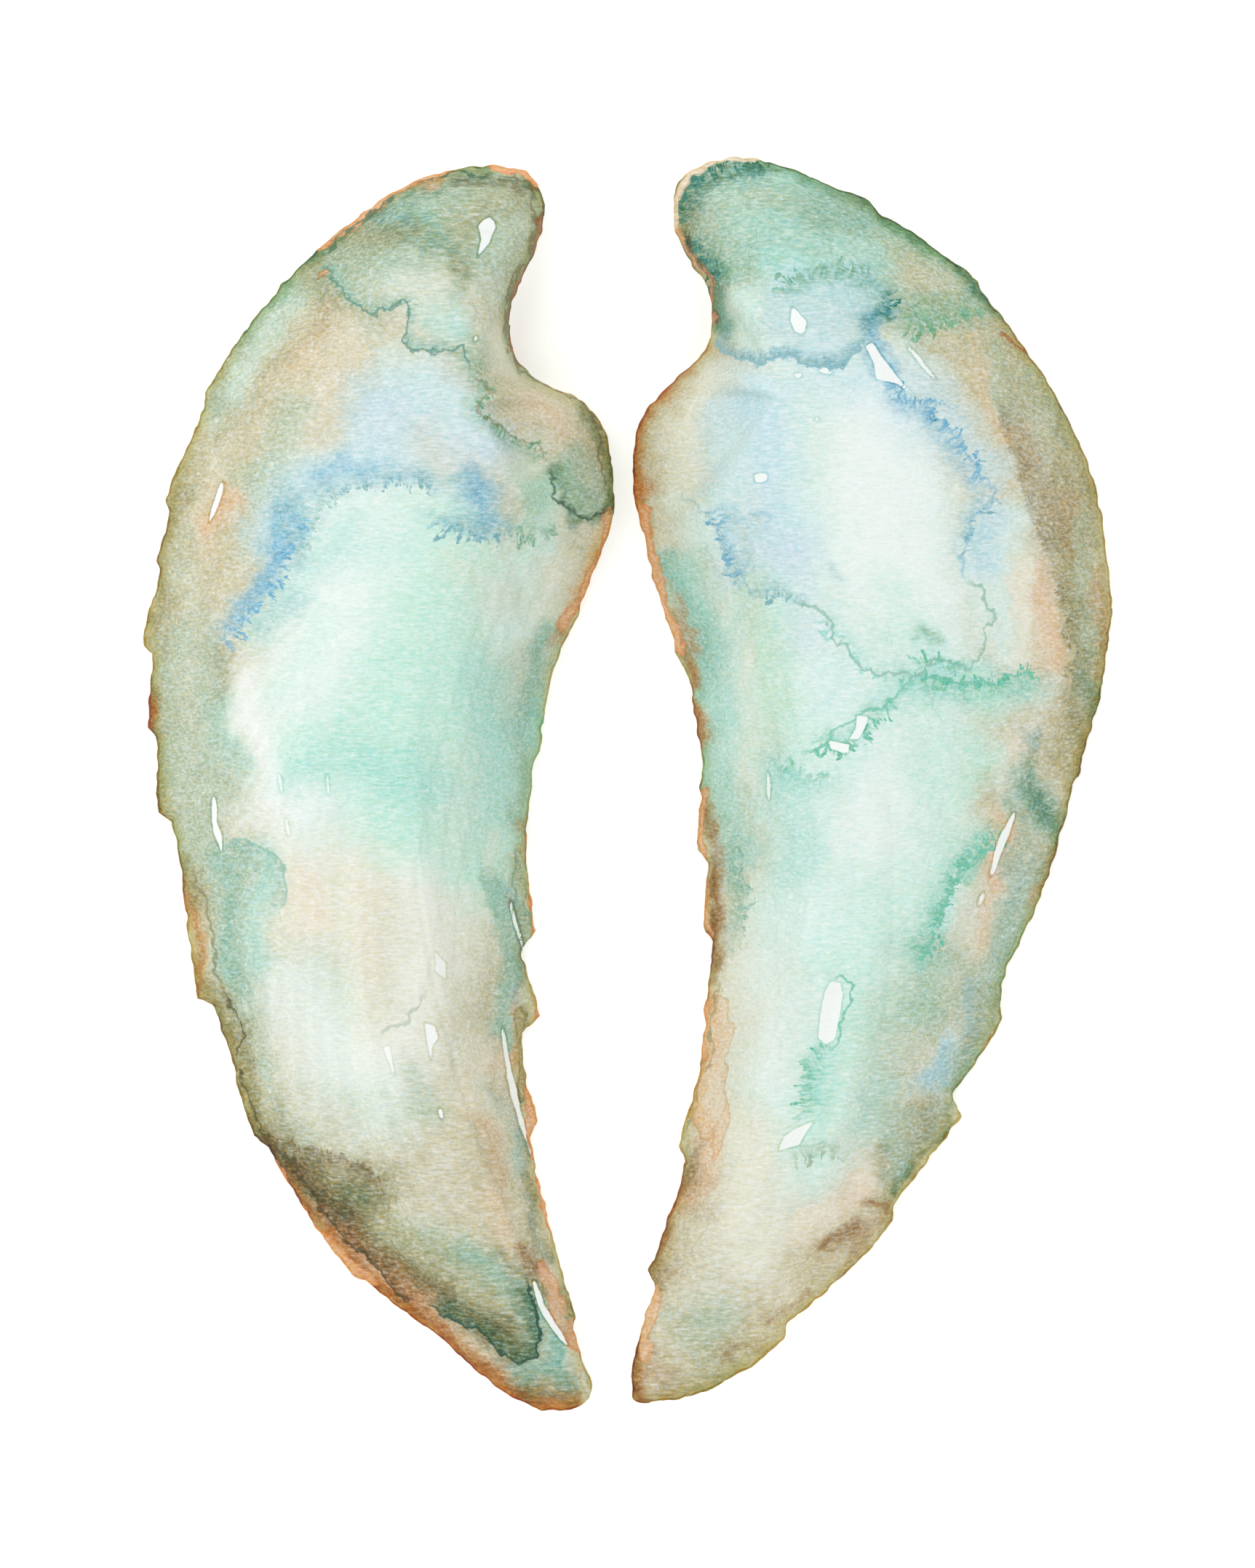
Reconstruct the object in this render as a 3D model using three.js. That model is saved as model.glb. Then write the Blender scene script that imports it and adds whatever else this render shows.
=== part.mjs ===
// Angel wing clam shell: the two loose valves of one shell. They lie hollow side down, with their hinge margins
// facing.
// Millimetres. +X points to the right valve, +Y to the short round front end and +Z up.
// The origin is on the surface that the valves rest on, under the middle of the pair.
import * as THREE from "three";

// Driving dimensions.
const SHELL_LENGTH = 150; // from the front end to the rear tip
const CROWN = 20; // rise of a valve from the surface to its umbo
const MARGIN_EDGE = 0.9; // thickness of the bare edge that shows round the margin
const WALL = 1.3; // thickness of the wall at the umbo
const RIM_LAND = 1.1; // width of the flat that a valve stands on
const FLANGE_LIFT = 3.4; // height of the hinge flange over the surface
const FLANGE_REACH = 16; // radius of the flange about its middle on the margin
const END_LIFT = 1.6; // height of the margin over the surface at the gaping front and rear ends
const END_REACH = 22; // radius of each gape about the end of the valve
const RIB_PITCH = 6.0; // spacing of the radial ribs round the margin
const RIB_STEEP_SIDE = 1.4; // width of a rib's steep side at the margin
const RIB_RELIEF = 0.5; // height of a rib at the margin
const GROWTH_STEP = 0.3; // height of the ledge that each halt in growth left

// Form of a valve. Each share runs from 0 at the umbo to 1 at the margin.
const FRONT_BOW = 0.03; // sideways bow of a rib ahead of the umbo, in mm for each square mm of run
const REAR_BOW = 0.0042; // the same behind the umbo
const DOME_POWER = 2.4; // 1 would be a cone, and more is flatter on top and steeper at the margin
const FLANGE_POWER = 1.1; // the same where the wall slopes straight down from the umbo to the hinge flange
const LIFT_FADE = [0.25, 0.85]; // shares between which the margin's lift comes in
const RIB_FADE = [0.12, 0.9]; // shares between which the ribs come in
const TIP_DEPTH = 4.5; // distance from the margin, in mm, at which the rib tips start to stand out
const TIP_POWER = 2; // how late they stand out
const MARGIN_STEPS = 900; // places along the margin at which it is measured
const CHALKY = 0.6; // roughness of the surface
const LEDGES = [0.5, 0.72, 0.88]; // shares where growth halted
const LEDGE_WIDTH = 0.008; // share that a ledge takes to step down
const PLAIN_RINGS = [0.07, 0.16, 0.26, 0.38, 0.61, 0.8, 0.94, 0.97, 1];
const INNER_RINGS = [1, 0.86, 0.66, 0.42, 0.2]; // shares of the way to the inner edge of the land

// Each outline runs from the notch ahead of the hinge round the front end, along the outer margin to the rear
// tip and back up the hinge margin. Each of its points is a pair of percentages of SHELL_LENGTH: how far it
// is out from the middle of the pair, and how far it is forward of the middle of the shell.
// Each tip is the end of a strong rib. It is at a share of the way round the outline, stands out of it by so
// many millimetres, and takes its rise and its fall along the margin to come up and to go back.
const LEFT = {
  name: "left_valve",
  side: -1,
  colour: "#c2cdb8",
  umbo: [12.0, 30.0],
  hinge: [1.2, 24.5],
  frontEnd: [10.5, 49.2],
  rearEnd: [5.0, -49.9],
  outline: [
    [9.4, 36.7], [8.9, 39.3], [7.5, 42.2], [6.7, 46.3], [8.1, 48.7], [12.6, 49.1], [17.5, 47.7],
    [22.8, 44.1], [27.7, 39.5], [32.0, 33.7], [34.8, 27.1], [36.6, 21.0], [37.4, 16.1], [37.9, 9.7],
    [37.4, 3.3], [35.9, -4.5], [32.3, -19.6], [27.5, -30.9], [21.0, -39.3], [15.1, -43.9],
    [9.6, -48.6], [6.4, -49.9], [3.8, -49.5], [2.9, -48.1], [3.8, -45.5], [5.4, -38.4], [6.9, -32.6],
    [7.9, -28.0], [8.3, -22.8], [8.4, -14.6], [8.3, -7.1], [7.9, -1.3], [7.0, 4.5], [5.8, 9.4],
    [3.8, 14.1], [2.1, 18.7], [1.2, 21.6], [1.3, 25.4], [2.1, 28.8], [4.2, 30.8], [7.2, 32.2],
    [9.0, 34.1],
  ],
  tips: [
    { at: 0.197, out: 0.5, rise: 7, fall: 4 },
    { at: 0.235, out: 0.9, rise: 8, fall: 3 },
    { at: 0.256, out: 0.5, rise: 3.5, fall: 2.5 },
    { at: 0.285, out: 1.1, rise: 8, fall: 2.5 },
    { at: 0.313, out: 0.8, rise: 7, fall: 2.5 },
    { at: 0.342, out: 1.4, rise: 8, fall: 3 },
    { at: 0.406, out: 1.7, rise: 17, fall: 3 },
    { at: 0.456, out: 0.9, rise: 10, fall: 4.5 },
    { at: 0.514, out: 0.8, rise: 11, fall: 3.5 },
    { at: 0.639, out: 0.6, rise: 3.5, fall: 4 },
    { at: 0.707, out: 1.2, rise: 4.5, fall: 6 },
    { at: 0.743, out: 2.0, rise: 5, fall: 7 },
    { at: 0.772, out: 1.5, rise: 4.5, fall: 11 },
    { at: 0.834, out: 0.5, rise: 4, fall: 6 },
  ],
};

const RIGHT = {
  name: "right_valve",
  side: 1,
  colour: "#c5d4c5",
  umbo: [11.8, 30.6],
  hinge: [0.5, 25.6],
  frontEnd: [9.0, 49.9],
  rearEnd: [1.5, -49.2],
  outline: [
    [6.8, 37.0], [6.4, 39.7], [4.9, 41.8], [3.8, 44.8], [4.2, 47.9], [6.0, 49.3], [9.0, 49.9],
    [12.3, 49.2], [16.1, 47.6], [20.5, 45.2], [25.6, 41.8], [28.9, 38.4], [32.2, 33.8], [35.0, 29.1],
    [37.0, 24.5], [38.0, 19.6], [38.5, 14.3], [38.1, 10.3], [37.3, 5.9], [36.0, 2.2], [34.0, -5.7],
    [32.2, -10.6], [30.0, -15.2], [28.5, -20.4], [25.6, -25.1], [22.0, -32.1], [18.0, -38.3],
    [13.1, -42.6], [9.7, -45.9], [5.6, -48.4], [2.5, -49.2], [0.6, -49.1], [0.3, -47.7], [1.0, -43.6],
    [2.1, -40.4], [4.4, -31.2], [5.7, -22.8], [6.8, -13.5], [6.4, -7.1], [6.0, 1.0], [5.4, 5.9],
    [4.7, 9.4], [3.2, 12.9], [2.1, 16.4], [1.3, 19.9], [0.6, 22.8], [0.5, 25.7], [1.0, 28.7],
    [2.4, 30.8], [4.8, 33.0], [6.5, 34.9],
  ],
  tips: [
    { at: 0.118, out: 0.7, rise: 5, fall: 4 },
    { at: 0.164, out: 0.4, rise: 5, fall: 3 },
    { at: 0.203, out: 0.2, rise: 6, fall: 2 },
    { at: 0.344, out: 0.4, rise: 6, fall: 3 },
    { at: 0.43, out: 0.9, rise: 9, fall: 10 },
    { at: 0.466, out: 2.2, rise: 4.5, fall: 12 },
    { at: 0.508, out: 0.9, rise: 3.5, fall: 6 },
    { at: 0.562, out: 1.0, rise: 3.5, fall: 13 },
    { at: 0.662, out: 1.2, rise: 4, fall: 11 },
    { at: 0.706, out: 1.1, rise: 4, fall: 8 },
    { at: 0.753, out: 0.5, rise: 4, fall: 5 },
    { at: 0.781, out: 0.9, rise: 4, fall: 7 },
    { at: 0.808, out: 1.1, rise: 4, fall: 10 },
    { at: 0.876, out: 0.5, rise: 4, fall: 4 },
  ],
};

const { lerp, smoothstep } = THREE.MathUtils;
const PERCENT = SHELL_LENGTH / 100;

// A percentage pair as a point in millimetres: x out from the middle of the pair, and y forward.
function planPoint([out, forward]) {
  return new THREE.Vector3(out * PERCENT, forward * PERCENT, 0);
}

// The direction out of the margin, at a share of the way round it.
function outwardOf(curve, share) {
  const tangent = curve.getTangentAt(share);
  return new THREE.Vector3(-tangent.y, tangent.x, 0);
}

// How far the rib tips stand out of the margin, at a share of the way round it.
function tipHeight(valve, share, length) {
  const heights = valve.tips.map(({ at, out, rise, fall }) => {
    const run = (share - at) * length;
    return out * (1 - Math.abs(run) / (run < 0 ? rise : fall));
  });
  return Math.max(0, ...heights);
}

// The smooth margin, with the places at which the rib tips are measured from it.
function marginOf(valve) {
  const curve = new THREE.CatmullRomCurve3(valve.outline.map(planPoint), true, "centripetal");
  const length = curve.getLength();
  const places = Array.from({ length: MARGIN_STEPS }, (_, i) => {
    const share = i / MARGIN_STEPS;
    const tip = tipHeight(valve, share, length);
    return { at: curve.getPointAt(share), push: outwardOf(curve, share).multiplyScalar(tip) };
  });
  return { curve, length, places };
}

// Moves a point that is near the margin out with the rib tip that it belongs to.
function pushToTip(point, places) {
  const near = places.reduce((best, place) => {
    const gap = place.at.distanceToSquared(point);
    return gap < best.gap ? { gap, place } : best;
  }, { gap: Infinity });
  const share = Math.max(0, 1 - Math.sqrt(near.gap) / TIP_DEPTH) ** TIP_POWER;
  return point.addScaledVector(near.place.push, share);
}

// The crest and the foot of every rib, as shares of the way round the margin. Ribs of the usual pitch fill
// the space between the strong ones, and each leans the way of the strong rib that it follows.
function ribSamples(valve, length) {
  const samples = [];
  valve.tips.forEach(({ at, rise, fall }, i) => {
    const next = i + 1 < valve.tips.length ? valve.tips[i + 1].at : valve.tips[0].at + 1;
    const ribs = Math.max(1, Math.round(((next - at) * length) / RIB_PITCH));
    const lean = rise < fall ? -1 : 1;
    for (let k = 0; k < ribs; k += 1) {
      const crest = lerp(at, next, k / ribs);
      const steepSide = k === 0 ? Math.min(rise, fall) : RIB_STEEP_SIDE;
      samples.push({ share: crest % 1, rib: 1 });
      samples.push({ share: (crest + (lean * steepSide) / length) % 1, rib: 0 });
    }
  });
  return samples.sort((a, b) => a.share - b.share);
}

// 1 at the middle of a round zone, and 0 outside its reach.
function zone(point, middle, reach) {
  return 1 - smoothstep(point.distanceTo(planPoint(middle)), reach / 2, reach);
}

// What is known about one rib line: where it ends on the margin and what form the margin has there.
function ribLine(valve, margin, { share, rib }) {
  const end = margin.curve.getPointAt(share);
  const flange = zone(end, valve.hinge, FLANGE_REACH);
  const gape = Math.max(zone(end, valve.frontEnd, END_REACH), zone(end, valve.rearEnd, END_REACH));
  return {
    end,
    landEnd: end.clone().addScaledVector(outwardOf(margin.curve, share), -RIM_LAND),
    rib: rib * (1 - flange),
    flange,
    lift: Math.max(FLANGE_LIFT * flange, END_LIFT * gape),
  };
}

// The sideways bow that gives the rib lines their curve.
function bow(umbo, y) {
  const run = y - umbo.y;
  return (run > 0 ? FRONT_BOW : REAR_BOW) * run * run;
}

// A point of a rib line in plan, at a share of the way from the umbo to its end.
function planOnLine(umbo, end, share) {
  const y = lerp(umbo.y, end.y, share);
  const straight = lerp(umbo.x, end.x + bow(umbo, end.y), share);
  return new THREE.Vector3(straight - bow(umbo, y), y, 0);
}

// The fall of the wall, from 1 at the umbo to 0 at the margin: a dome, but a straight slope to the flange.
function wallShare(line, share) {
  return 1 - share ** lerp(DOME_POWER, FLANGE_POWER, line.flange);
}

// The ledges of growth: each band rises towards its outer end and steps down there.
function ledgeHeight(share) {
  const from = Math.max(0, ...LEDGES.filter((ledge) => ledge < share));
  const to = Math.min(...LEDGES.filter((ledge) => ledge >= share));
  return Number.isFinite(to) ? (GROWTH_STEP * (share - from)) / (to - from) : 0;
}

function outerPoint(umbo, places, line, share) {
  const point = pushToTip(planOnLine(umbo, line.end, share), places);
  const lift = line.lift * smoothstep(share, ...LIFT_FADE);
  const rib = RIB_RELIEF * line.rib * smoothstep(share, ...RIB_FADE);
  const ledge = ledgeHeight(share) * (1 - line.flange);
  return point.setZ(MARGIN_EDGE + lift + (CROWN - MARGIN_EDGE) * wallShare(line, share) + rib + ledge);
}

// The inside has the same form as the outside, from the inner edge of the land up.
function innerPoint(umbo, places, line, share) {
  const point = pushToTip(planOnLine(umbo, line.landEnd, share), places);
  const lift = line.lift * smoothstep(share, ...LIFT_FADE);
  return point.setZ(lift + (CROWN - WALL) * wallShare(line, share));
}

// The rings of a valve from the umbo outside, over the margin and back to the umbo inside.
function ringsOf(umbo, places, lines) {
  const ledges = LEDGES.flatMap((ledge) => [ledge, ledge + LEDGE_WIDTH]);
  const shares = [...PLAIN_RINGS, ...ledges].sort((a, b) => a - b);
  const outer = shares.map((share) => lines.map((line) => outerPoint(umbo, places, line, share)));
  const foot = outer.at(-1).map((point, i) => point.clone().setZ(lines[i].lift));
  const inner = INNER_RINGS.map((share) => lines.map((line) => innerPoint(umbo, places, line, share)));
  return [...outer, foot, ...inner];
}

// The triangles between two neighbouring rings of count points, the first of which starts at index start.
function bandFaces(start, count) {
  const faces = [];
  for (let i = 0; i < count; i += 1) {
    const a = start + i;
    const b = start + ((i + 1) % count);
    faces.push([a, a + count, b], [b, a + count, b + count]);
  }
  return faces;
}

// The triangles between a pole and a ring of count points that starts at index start.
function poleFaces(pole, start, count) {
  return Array.from({ length: count }, (_, i) => [pole, start + i, start + ((i + 1) % count)]);
}

function valveGeometry(valve) {
  const margin = marginOf(valve);
  const umbo = planPoint(valve.umbo);
  const lines = ribSamples(valve, margin.length).map((sample) => ribLine(valve, margin, sample));
  const rings = ringsOf(umbo, margin.places, lines);
  const points = [...rings.flat(), umbo.clone().setZ(CROWN), umbo.clone().setZ(CROWN - WALL)];
  const outerPole = points.length - 2;
  const innerPole = points.length - 1;
  const lastRing = (rings.length - 1) * lines.length;
  const faces = [
    ...poleFaces(outerPole, 0, lines.length),
    ...rings.slice(1).flatMap((_, i) => bandFaces(i * lines.length, lines.length)),
    ...poleFaces(innerPole, lastRing, lines.length).map(([a, b, c]) => [a, c, b]),
  ];
  const facing = valve.side > 0 ? faces.map(([a, b, c]) => [a, c, b]) : faces;
  points.forEach((point) => point.setX(point.x * valve.side));
  const geometry = new THREE.BufferGeometry().setFromPoints(points);
  geometry.setIndex(facing.flat());
  geometry.computeVertexNormals();
  return geometry;
}

function valveMesh(valve) {
  const material = new THREE.MeshStandardMaterial({ color: valve.colour, roughness: CHALKY, metalness: 0 });
  const mesh = new THREE.Mesh(valveGeometry(valve), material);
  mesh.name = valve.name;
  return mesh;
}

const shell = new THREE.Group();
shell.name = "angel_wing_shell";
shell.add(valveMesh(LEFT), valveMesh(RIGHT));

export default shell;
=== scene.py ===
import bpy
import numpy as np
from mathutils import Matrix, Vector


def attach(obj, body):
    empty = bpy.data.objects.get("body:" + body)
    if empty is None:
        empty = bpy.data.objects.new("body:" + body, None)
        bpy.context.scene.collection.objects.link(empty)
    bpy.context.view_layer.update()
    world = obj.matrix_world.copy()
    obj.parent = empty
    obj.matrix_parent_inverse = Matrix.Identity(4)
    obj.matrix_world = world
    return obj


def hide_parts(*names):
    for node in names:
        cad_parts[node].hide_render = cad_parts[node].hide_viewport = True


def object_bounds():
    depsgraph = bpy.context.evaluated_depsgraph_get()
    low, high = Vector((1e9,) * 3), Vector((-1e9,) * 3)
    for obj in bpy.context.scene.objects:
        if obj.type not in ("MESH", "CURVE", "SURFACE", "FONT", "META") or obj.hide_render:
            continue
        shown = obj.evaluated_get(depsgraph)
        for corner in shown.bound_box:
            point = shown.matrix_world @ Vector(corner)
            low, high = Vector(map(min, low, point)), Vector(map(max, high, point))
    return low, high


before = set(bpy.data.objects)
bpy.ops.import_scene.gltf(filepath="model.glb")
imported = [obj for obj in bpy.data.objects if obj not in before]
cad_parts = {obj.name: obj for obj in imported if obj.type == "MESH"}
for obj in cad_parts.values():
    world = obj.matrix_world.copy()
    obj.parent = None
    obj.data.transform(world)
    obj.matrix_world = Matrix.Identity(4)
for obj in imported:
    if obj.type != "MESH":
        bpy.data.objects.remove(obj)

cad_low, cad_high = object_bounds()


# ---- The left valve -------------------------------------------------------------------------------------
# One half of the shell: a thin, domed, wing-shaped plate of chalky shell that grew outwards from the umbo,
# its highest point. Radial ribs and growth ledges run over it, and it lies loose on its margin, hollow down.

MM = 0.001
SHELL_LENGTH = (cad_high.y - cad_low.y) / MM  # both valves together, from the front end to the rear tips
CROWN = cad_high.z / MM  # rise of a valve from the surface to its umbo
PERCENT = SHELL_LENGTH / 99.65  # the margins below are in hundredths of a length just over the shell's own

MARGIN_EDGE = 0.9  # thickness of the bare edge round the margin
WALL = 1.3  # thickness of the wall at the umbo
RIM_LAND = 1.1  # width of the flat that a valve stands on
RIM_BULGE = 0.08  # how far the worn edge swells between its two arrises
RIM_WORN = 0.16  # how far its foot is worn back
FLANGE_LIFT, FLANGE_REACH = 3.4, 16.0  # height of the hinge flange over the surface, and its radius
END_LIFT, END_REACH = 1.6, 22.0  # height of the margin at the gaping front and rear ends, and their radius
FRONT_BOW, REAR_BOW = 0.03, 0.0042  # sideways bow of the ribs ahead of the umbo and behind it
DOME_POWER = 2.4  # 1 would be a cone, and more is flatter on top and steeper at the margin
FLANGE_POWER = 1.1  # the same where the wall slopes straight down to the hinge flange
LIFT_FADE = (0.25, 0.85)  # shares between which the margin's lift comes in
TIP_DEPTH, TIP_POWER = 4.5, 2.0  # where the rib tips start to stand out of the margin, and how late
TIP_STEEP = 0.4  # the steep side of a broken tip, against the side that the plain solid needs
RAGGED, RAGGED_CELL = 0.16, 1.3  # depth and spacing of the small nicks of the margin
FINE_NICKS = 0.5  # depth of the finer nicks between them, as a share of that
RIB_PITCH = 6.0  # spacing of the radial ribs round the margin
RELIEF_SHORE = 0.6  # distance from the edge at which the ribs have their whole height
RELIEF_INSIDE = 0.5  # share of their height by which the inside follows the outside

ROWS, COLUMNS, INSIDE_STEP = 560, 144, 6  # the mesh along a valve and across it, and the coarser inside
KNOT_STEPS, MARGIN_PLACES = 60, 1500  # steps of the margin's curve from knot to knot, and its even places
END_ZONE = 5.0  # length in mm of each end in which the rows close up
COLUMN_CROWDING = 0.2  # how far the columns close up towards the two margins
SQUARE_REACH = 3.0  # nearer the margin than this, a distance from it is taken square to it
BATCH = 4000  # points that are set against the margin at a time
TABLE = 256  # size of the table of random values, which repeats


def smoothstep(value, low, high):
    """0 below low, 1 above high, and smooth between them."""
    share = np.clip((value - low) / (high - low), 0.0, 1.0)
    return share * share * (3.0 - 2.0 * share)


def mottle(points, cell, seed):
    """A smooth random value from -1 to 1 at each point, with patches about cell mm across."""
    table = np.random.default_rng(seed).uniform(-1.0, 1.0, (TABLE, TABLE))
    places = points / cell
    corner = np.floor(places).astype(int)
    part = places - corner
    part = part * part * (3.0 - 2.0 * part)
    x, y = corner[:, 0] % TABLE, corner[:, 1] % TABLE
    x1, y1 = (x + 1) % TABLE, (y + 1) % TABLE
    low = table[x, y] * (1 - part[:, 0]) + table[x1, y] * part[:, 0]
    high = table[x, y1] * (1 - part[:, 0]) + table[x1, y1] * part[:, 0]
    return low * (1 - part[:, 1]) + high * part[:, 1]


def smooth_margin(outline):
    """The closed smooth curve through the outline, at MARGIN_PLACES even steps, and its length."""
    knots = np.array(outline) * PERCENT
    before, after, last = np.roll(knots, 1, 0), np.roll(knots, -1, 0), np.roll(knots, -2, 0)
    gap = [np.sqrt(np.linalg.norm(b - a, axis=1))[:, None] for a, b in
           ((before, knots), (knots, after), (after, last))]
    leave = (after - knots) + gap[1] * ((knots - before) / gap[0] - (after - before) / (gap[0] + gap[1]))
    arrive = (after - knots) + gap[1] * ((last - after) / gap[2] - (last - knots) / (gap[1] + gap[2]))
    s = np.linspace(0, 1, KNOT_STEPS, endpoint=False)[None, :, None]
    fine = ((2 * s**3 - 3 * s**2 + 1) * knots[:, None] + (s**3 - 2 * s**2 + s) * leave[:, None]
            + (3 * s**2 - 2 * s**3) * after[:, None] + (s**3 - s**2) * arrive[:, None]).reshape(-1, 2)
    fine = np.vstack([fine, fine[:1]])
    run = np.concatenate([[0.0], np.cumsum(np.linalg.norm(np.diff(fine, axis=0), axis=1))])
    steps = np.linspace(0, run[-1], MARGIN_PLACES + 1)
    return np.stack([np.interp(steps, run, fine[:, k]) for k in (0, 1)], 1), run[-1]


def outward_of(margin):
    """The direction square out of the margin at each of its places."""
    tangent = np.roll(margin[:-1], -1, 0) - np.roll(margin[:-1], 1, 0)
    tangent /= np.linalg.norm(tangent, axis=1)[:, None]
    outward = np.stack([-tangent[:, 1], tangent[:, 0]], 1)
    return np.vstack([outward, outward[:1]])


def zone(points, middle, reach):
    """1 at the middle of a round zone, and 0 outside its reach."""
    far = np.linalg.norm(points - np.array(middle) * PERCENT, axis=1)
    return 1.0 - smoothstep(far, reach / 2, reach)


def tip_heights(valve, shares, length):
    """How far the broken rib tips and the small nicks stand out, round the margin."""
    height = np.zeros_like(shares)
    for at, out, rise, fall in valve["tips"]:
        run = (shares - at) * length
        if rise < fall:
            rise *= TIP_STEEP
        else:
            fall *= TIP_STEEP
        height = np.maximum(height, out * (1 - np.abs(run) / np.where(run < 0, rise, fall)))
    ring = np.stack([shares * length, np.zeros_like(shares)], 1)
    nicks = mottle(ring, RAGGED_CELL, valve["seed"])
    nicks = nicks + FINE_NICKS * mottle(ring, RAGGED_CELL / 2, valve["seed"] + 1)
    return height + RAGGED * nicks


def nearest_place(points, margin, outward):
    """For each point, the nearest place of the margin, and how far in from it the point is."""
    place = np.empty(len(points), int)
    for start in range(0, len(points), BATCH):
        part = points[start:start + BATCH]
        gap = (part[:, None, 0] - margin[None, :, 0]) ** 2 + (part[:, None, 1] - margin[None, :, 1]) ** 2
        place[start:start + BATCH] = gap.argmin(1)
    step = points - margin[place]
    far = np.linalg.norm(step, axis=1)
    square = np.abs((step * outward[place]).sum(1))
    return place, np.where(far < SQUARE_REACH, np.minimum(square, far), far)


def bow(umbo, y):
    """How far the growing shell has swung sideways at y."""
    run = y - umbo[1]
    return np.where(run > 0, FRONT_BOW, REAR_BOW) * run * run


def rows_of(low, high):
    """Places of the rows along a valve: even, but closing up towards both ends."""
    share = np.arange(ROWS + 1) / ROWS
    turn = 2 * END_ZONE / (high - low + 2 * END_ZONE)  # share of the rows in each end zone
    near = np.minimum(share, 1 - share)
    run = np.where(near < turn, END_ZONE * (near / turn) ** 2, END_ZONE + (near - turn) * 2 * END_ZONE / turn)
    return np.where(share < 0.5, high - run, low + run)


def leaf_grid(margin):
    """Points in rows from the hinge margin to the outer margin, with a pole at each end of the valve."""
    ring = margin[:-1]
    front, rear = ring[:, 1].argmax(), ring[:, 1].argmin()
    ring = np.roll(ring, -front, 0)
    rear = (rear - front) % len(ring)
    outer, hinge = ring[:rear + 1], np.vstack([ring[rear:], ring[:1]])
    rows = rows_of(ring[rear, 1], ring[0, 1])[1:-1]
    outer_y = np.minimum.accumulate(outer[:, 1])
    hinge_y = np.maximum.accumulate(hinge[:, 1])
    outer_x = np.interp(rows, outer_y[::-1], outer[::-1, 0])
    hinge_x = np.interp(rows, hinge_y, hinge[:, 0])
    share = np.arange(COLUMNS + 1) / COLUMNS
    share = share - COLUMN_CROWDING * np.sin(2 * np.pi * share) / (2 * np.pi)
    across = hinge_x[:, None] + (outer_x - hinge_x)[:, None] * share
    grid = np.stack([across, np.repeat(rows[:, None], COLUMNS + 1, 1)], 2).reshape(-1, 2)
    return np.vstack([grid, ring[0], ring[rear]])


def growth_place(points, umbo, margin):
    """For each point, the share of the way round the margin of the rib it is on, and its share of the way out."""
    def straight(p):
        return p[:, 0] + bow(umbo, p[:, 1]) - umbo[0], p[:, 1] - umbo[1]
    x, y = straight(margin)
    turn = np.unwrap(np.arctan2(y, x))
    sign = 1.0 if turn[-1] > turn[0] else -1.0
    turn = np.maximum.accumulate(turn * sign)
    px, py = straight(points)
    angle = (np.arctan2(py, px) * sign - turn[0]) % (2 * np.pi) + turn[0]
    round_share = np.interp(angle, turn, np.linspace(0, 1, len(turn)))
    reach = np.interp(angle, turn, np.hypot(x, y))
    return round_share, np.clip(np.hypot(px, py) / reach, 0.0, 1.0)


def rib_turns(valve, length):
    """Shares of the way round at which a rib's crest lies, the strong tips and the plain ribs between them."""
    tips = [tip[0] for tip in valve["tips"]]
    crests = []
    for here, there in zip(tips, tips[1:] + [tips[0] + 1]):
        ribs = max(1, round((there - here) * length / RIB_PITCH))
        crests += [(here + (there - here) * k / ribs) for k in range(ribs)]
    return np.array(crests + [crests[0] + 1])


def valve_faces(rows):
    """Faces of the outside, the rim and the inside, as one closed skin; also the loops of the rim."""
    def sheet(start, columns, flip):
        index = start + np.arange(rows * (columns + 1)).reshape(rows, columns + 1)
        a, b, c, d = index[:-1, :-1], index[:-1, 1:], index[1:, 1:], index[1:, :-1]
        quads = np.stack([a, b, c, d], 2).reshape(-1, 4)
        front, rear = start + index.size, start + index.size + 1
        fans = [(front, index[0, k + 1], index[0, k]) for k in range(columns)]
        fans += [(rear, index[-1, k], index[-1, k + 1]) for k in range(columns)]
        faces = quads.tolist() + [list(map(int, fan)) for fan in fans]
        loop = [front, *index[:, -1], rear, *index[::-1, 0]]
        return [face[::-1] for face in faces] if flip else faces, list(map(int, loop)), rear + 1
    faces, outer_loop, start = sheet(0, COLUMNS, False)
    inner, inner_loop, start = sheet(start, COLUMNS // INSIDE_STEP, True)
    faces += inner
    count = len(outer_loop)
    loops = [outer_loop] + [list(range(start + k * count, start + (k + 1) * count)) for k in (0, 1)] + [inner_loop]
    for upper, lower in zip(loops, loops[1:]):
        for i in range(count):
            j = (i + 1) % count
            faces.append([upper[j], upper[i], lower[i], lower[j]])
    return faces, outer_loop


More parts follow.
